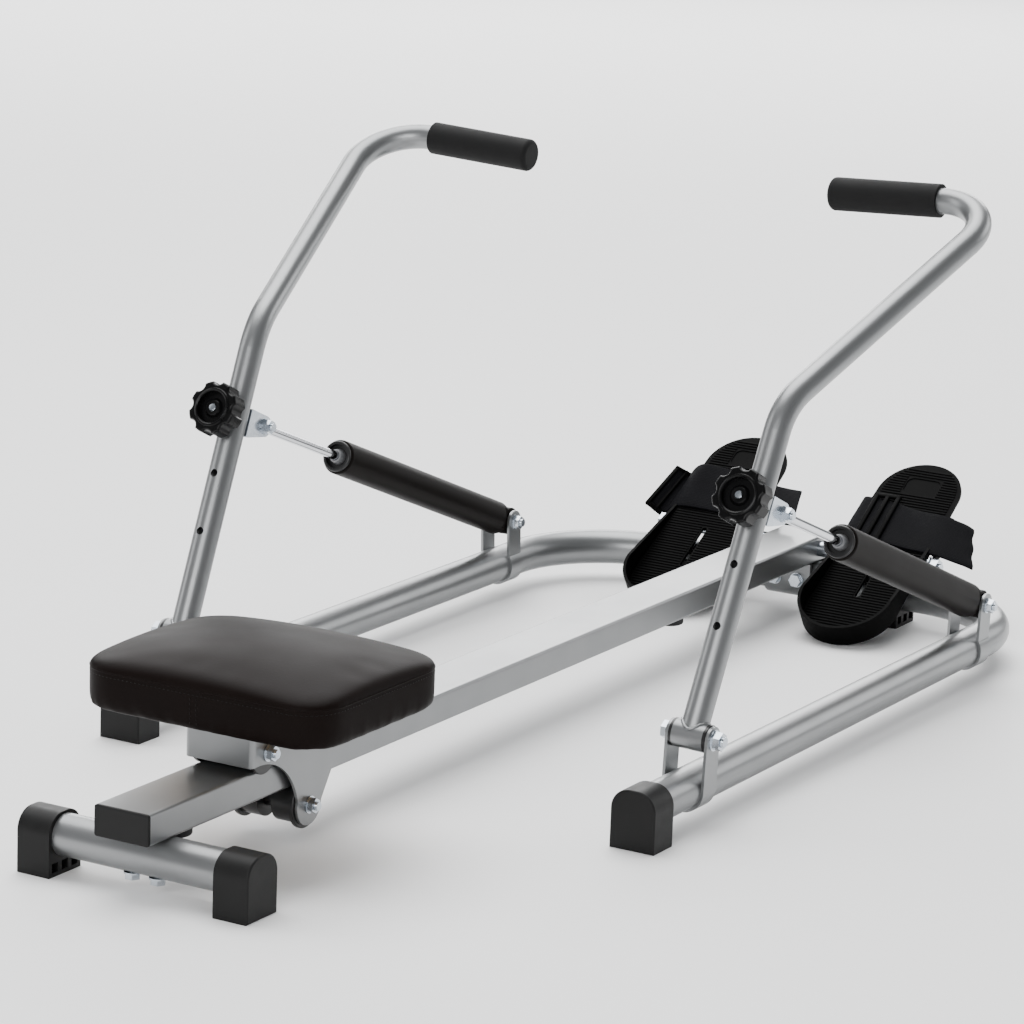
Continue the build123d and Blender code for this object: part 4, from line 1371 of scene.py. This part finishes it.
SOFT_BOXES: tuple[SoftBox, ...] = (
    SoftBox("overhead_box", (-0.6, 0.8, 2.6), (1.6, 2.6), 30.0),
    SoftBox("left_box", (-3.0, -1.2, 1.7), (1.4, 2.2), 30.0),
    SoftBox("front_box", (0.9, -4.8, 2.1), (3.0, 2.2), 140.0),
    SoftBox("side_box", (3.8, 6.2, 2.4), (5.0, 2.6), 130.0),
    SoftBox("back_box", (-3.6, 6.2, 2.6), (7.0, 2.6), 400.0),
)


@dataclass
class Studio:
    """The floor, the lamps and the camera at the photograph's place."""

    azimuth_deg: float = 29.808
    elevation_deg: float = 14.066
    roll_deg: float = 2.219
    distance: float = 4018.7 * MM
    look_at_mm: tuple[float, float, float] = (126.83, -198.14, 235.68)
    focal_share: float = 4.1388 * 1000 / 1024
    sensor: float = 36.0
    shift: tuple[float, float] = (-36.90 / 1024, 44.47 / 1024)
    floor_size: float = 60.0
    clip_end: float = 200.0
    lamp_target: tuple[float, float, float] = (0.0, 0.0, 0.2)
    air_tone: str = "#e6e8ea"
    air_strength: float = 0.35
    wash_strength: float = 3.6
    wash_spread_deg: float = 60.0
    wash_turn_deg: tuple[float, float] = (-14.0, -16.0)

    def floor(self) -> None:
        """Lay the pale floor."""
        bpy.ops.object.select_all(action="DESELECT")
        bpy.ops.mesh.primitive_plane_add(size=self.floor_size)
        floor = bpy.context.active_object
        floor.name = "studio_floor"
        floor.data.materials.append(STUDIO_FLOOR.material())

    def camera(self) -> None:
        """Set the camera up at the photograph's viewing angle."""
        azimuth, elevation, roll = (
            math.radians(a) for a in (self.azimuth_deg, self.elevation_deg, self.roll_deg)
        )
        right = Vector((math.cos(azimuth), math.sin(azimuth), 0))
        level = math.cos(elevation)
        back = Vector((math.sin(azimuth) * level, -math.cos(azimuth) * level, math.sin(elevation)))
        up = back.cross(right)
        turned_right = right * math.cos(roll) + up * math.sin(roll)
        turned_up = up * math.cos(roll) - right * math.sin(roll)
        data = bpy.data.cameras.new("photo_camera")
        data.sensor_width = self.sensor
        data.lens = self.sensor * self.focal_share
        data.shift_x, data.shift_y = self.shift
        data.clip_end = self.clip_end
        camera = bpy.data.objects.new("photo_camera", data)
        bpy.context.collection.objects.link(camera)
        place = Vector(self.look_at_mm) * MM + back * self.distance
        turn = Matrix((turned_right, turned_up, back)).transposed().to_4x4()
        camera.matrix_world = Matrix.Translation(place) @ turn
        bpy.context.scene.camera = camera

    def lamp(self, box: SoftBox) -> None:
        """Hang one soft box that looks at the middle of the machine.

        Args:
            box: The soft box.
        """
        data = bpy.data.lights.new(box.name, "AREA")
        data.shape = "RECTANGLE"
        data.size, data.size_y = box.size
        data.energy = box.power
        lamp = bpy.data.objects.new(box.name, data)
        bpy.context.collection.objects.link(lamp)
        place = Vector(box.place)
        lamp.location = place
        lamp.rotation_euler = (place - Vector(self.lamp_target)).to_track_quat("Z", "Y").to_euler()

    def air(self) -> None:
        """Fill the studio with soft light from all round and a wide wash from above."""
        world = bpy.data.worlds.new("studio_air")
        bpy.context.scene.world = world
        world.use_nodes = True
        sky = world.node_tree.nodes["Background"]
        sky.inputs["Color"].default_value = srgb(self.air_tone)
        sky.inputs["Strength"].default_value = self.air_strength
        sun = bpy.data.lights.new("ceiling_wash", "SUN")
        sun.energy = self.wash_strength
        sun.angle = math.radians(self.wash_spread_deg)
        wash = bpy.data.objects.new("ceiling_wash", sun)
        bpy.context.collection.objects.link(wash)
        turn_x, turn_y = (math.radians(angle) for angle in self.wash_turn_deg)
        wash.rotation_euler = (turn_x, turn_y, 0)

    def build(self) -> None:
        """Set up floor, camera, sky and lamps."""
        self.floor()
        self.camera()
        self.air()
        for box in SOFT_BOXES:
            self.lamp(box)


def main() -> None:
    """Build the machine's pieces in order."""
    logging.basicConfig(level=logging.INFO, format="%(message)s")
    Studio().build()
    CadDressing().build()
    SeatUnit().build()
    for side in Side:
        Footrest(side).build()
        ArmDetails(side).build()
        KnobTrim(side).build()
        DamperTrim(side).build()
    ThreadedEnds().build()


if __name__ == "__main__":
    main()
